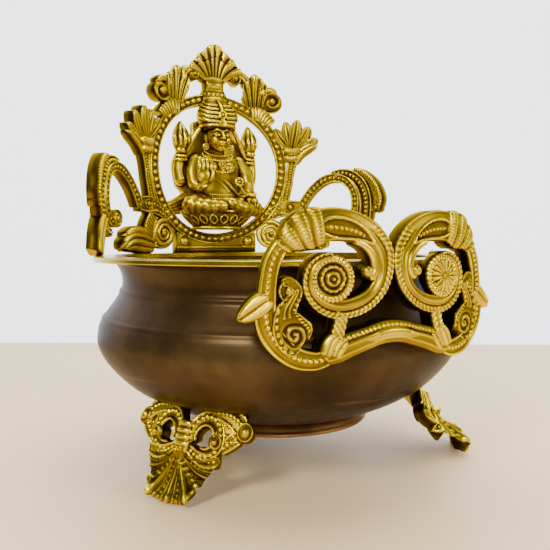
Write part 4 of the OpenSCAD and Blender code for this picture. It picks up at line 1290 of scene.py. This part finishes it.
def seat():
    # an oval seat with a row of engraved petals between two rims
    table = np.array(seatShape["rows"])
    shapes = [stack(seatShape["rows"], 64)]

    def skinPoint(a, z, lift):
        ru, rh, hc = (np.interp(z, table[:, 0], table[:, k]) for k in (1, 2, 3))
        return [(ru + lift) * math.sin(a), z, hc + (rh + lift) * math.cos(a)]
    for k in range(11):
        a = (k - 5) * 0.34
        for tilt in (-0.11, 0.11):
            shapes.append(tube([skinPoint(a, 18.8, 0) + [0.55], skinPoint(a + tilt, 20.8, 0.1) + [0.7],
                                skinPoint(a + tilt * 0.9, 23.0, 0.1) + [0.6],
                                skinPoint(a, 24.8, 0) + [0.5]], step=0.6))
    for z, r in ((16.4, 0.9), (27.4, 0.9)):
        shapes.append(tube([skinPoint(a, z, 0.1) + [r] for a in np.linspace(-1.9, 1.9, 21)], step=0.8))
    return shapes


def support(s):
    # four tubes side by side that fan out from the seat to the ring
    shapes = []
    for k in range(4):
        t = k / 3
        shapes.append(tube([[21, 28.5 + 10.5 * t, -3 + 0.6 * k, 2.6],
                            [31, 27.4 + 6.0 * t, -2.2 + 0.5 * k, 2.2],
                            [41.6, 26.4 + 2.6 * t, -3.4, 1.7]], cols=14))
    return shapes if s > 0 else mirrored(shapes)


figureParts = bodyShapes() + bud(1) + bud(-1) + hands() + legsFolded() + head() + crown()
fused("figureBody", figureParts, figureDetails(), 0.5, 2, ["figure_body"])
fused("figureSeat", seat(), [], 0.42, 1, ["figure_seat"])
for side in (-1, 1):
    fused("figureSupportRight" if side > 0 else "figureSupportLeft", support(side), [], 0.4, 1,
          ["figure_support_right" if side > 0 else "figure_support_left"])
print("figure made")


# carried-over nodes get the cast finish
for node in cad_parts.values():
    node.data.materials.clear()
    node.data.materials.append(cast)


# stage, light and camera
stage = {"turn": 27.45, "behind": 0.345, "half": 0.75, "ahead": 0.62, "skew": 1.6}


def tableTop():
    # a plain slab whose far edge makes the horizon
    mat, _, _, bsdf = newMaterial("paleFloor")
    bsdf.inputs["Base Color"].default_value = (0.92, 0.68, 0.36, 1)
    bsdf.inputs["Roughness"].default_value = 0.5
    w, d0, d1, t = stage["half"], -stage["ahead"], stage["behind"], 0.02
    corners = np.array([[x, y, z] for z in (-t, 0) for x, y in ((-w, d0), (w, d0), (w, d1), (-w, d1))])
    mesh = bpy.data.meshes.new("tableTop")
    mesh.from_pydata(corners.tolist(), [], [(3, 2, 1, 0), (4, 5, 6, 7), (0, 1, 5, 4), (1, 2, 6, 5),
                                            (2, 3, 7, 6), (3, 0, 4, 7)])
    mesh.materials.append(mat)
    top = bpy.data.objects.new("tableTop", mesh)
    top.rotation_euler = (0, 0, -math.radians(stage["turn"] + stage["skew"]))
    bpy.context.collection.objects.link(top)


tableTop()

# a pale room: bright behind the bowl, dimmer on the side it is seen from
room = {"colour": (0.93, 0.95, 1.0), "dim": 0.10, "bright": 3.4}
world = bpy.data.worlds.new("studio")
bpy.context.scene.world = world
world.use_nodes = True
wn, wl = world.node_tree.nodes, world.node_tree.links
sky = wn["Background"]
sky.inputs["Color"].default_value = (*room["colour"], 1)
facing = wn.new("ShaderNodeTexCoord")
dot = wn.new("ShaderNodeVectorMath")
dot.operation = "DOT_PRODUCT"
dot.inputs[1].default_value = (math.sin(math.radians(stage["turn"])), math.cos(math.radians(stage["turn"])),
                               0.25)
wl.new(facing.outputs["Generated"], dot.inputs[0])
glow = wn.new("ShaderNodeMapRange")
glow.interpolation_type = "SMOOTHSTEP"
glow.inputs["From Min"].default_value = -0.1
glow.inputs["From Max"].default_value = 1.0
glow.inputs["To Min"].default_value = room["dim"]
glow.inputs["To Max"].default_value = room["bright"]
wl.new(dot.outputs["Value"], glow.inputs["Value"])
wl.new(glow.outputs["Result"], sky.inputs["Strength"])

lamps = [
    {"name": "key", "at": (-0.85, -0.62, 0.85), "size": 0.3, "power": 13, "colour": (1, 0.97, 0.92)},
    {"name": "fill", "at": (0.75, -0.95, 0.55), "size": 0.3, "power": 6, "colour": (1, 0.98, 0.95)},
    {"name": "front", "at": (-0.35, -1.1, 0.35), "size": 0.22, "power": 4.5, "colour": (1, 0.98, 0.95)},
    {"name": "top", "at": (0.15, 0.1, 1.1), "size": 0.8, "power": 9, "colour": (1, 1, 1)}]
for lamp in lamps:
    light = bpy.data.lights.new(lamp["name"], "AREA")
    light.size = lamp["size"]
    light.energy = lamp["power"]
    light.color = lamp["colour"]
    spot = bpy.data.objects.new(lamp["name"], light)
    spot.location = lamp["at"]
    spot.rotation_euler = (Vector((0, 0, 0.1)) - Vector(lamp["at"])).to_track_quat("-Z", "Y").to_euler()
    bpy.context.collection.objects.link(spot)

view = {"turn": 27.45, "distance": 361.5, "height": 115.6, "lens": 36 * 641 / 550, "shiftX": -0.0042,
        "shiftY": -0.0656}
turn = math.radians(view["turn"])
cam = bpy.data.cameras.new("camera")
cam.lens = view["lens"]
cam.sensor_width = 36
cam.shift_x = view["shiftX"]
cam.shift_y = view["shiftY"]
cam.clip_start = 0.01
camera = bpy.data.objects.new("camera", cam)
camera.location = (-view["distance"] * math.sin(turn) * mm,
                   (axisY - view["distance"] * math.cos(turn)) * mm,
                   view["height"] * mm)
camera.rotation_euler = (math.pi / 2, 0, -turn)
bpy.context.collection.objects.link(camera)
bpy.context.scene.camera = camera

bpy.context.view_layer.update()
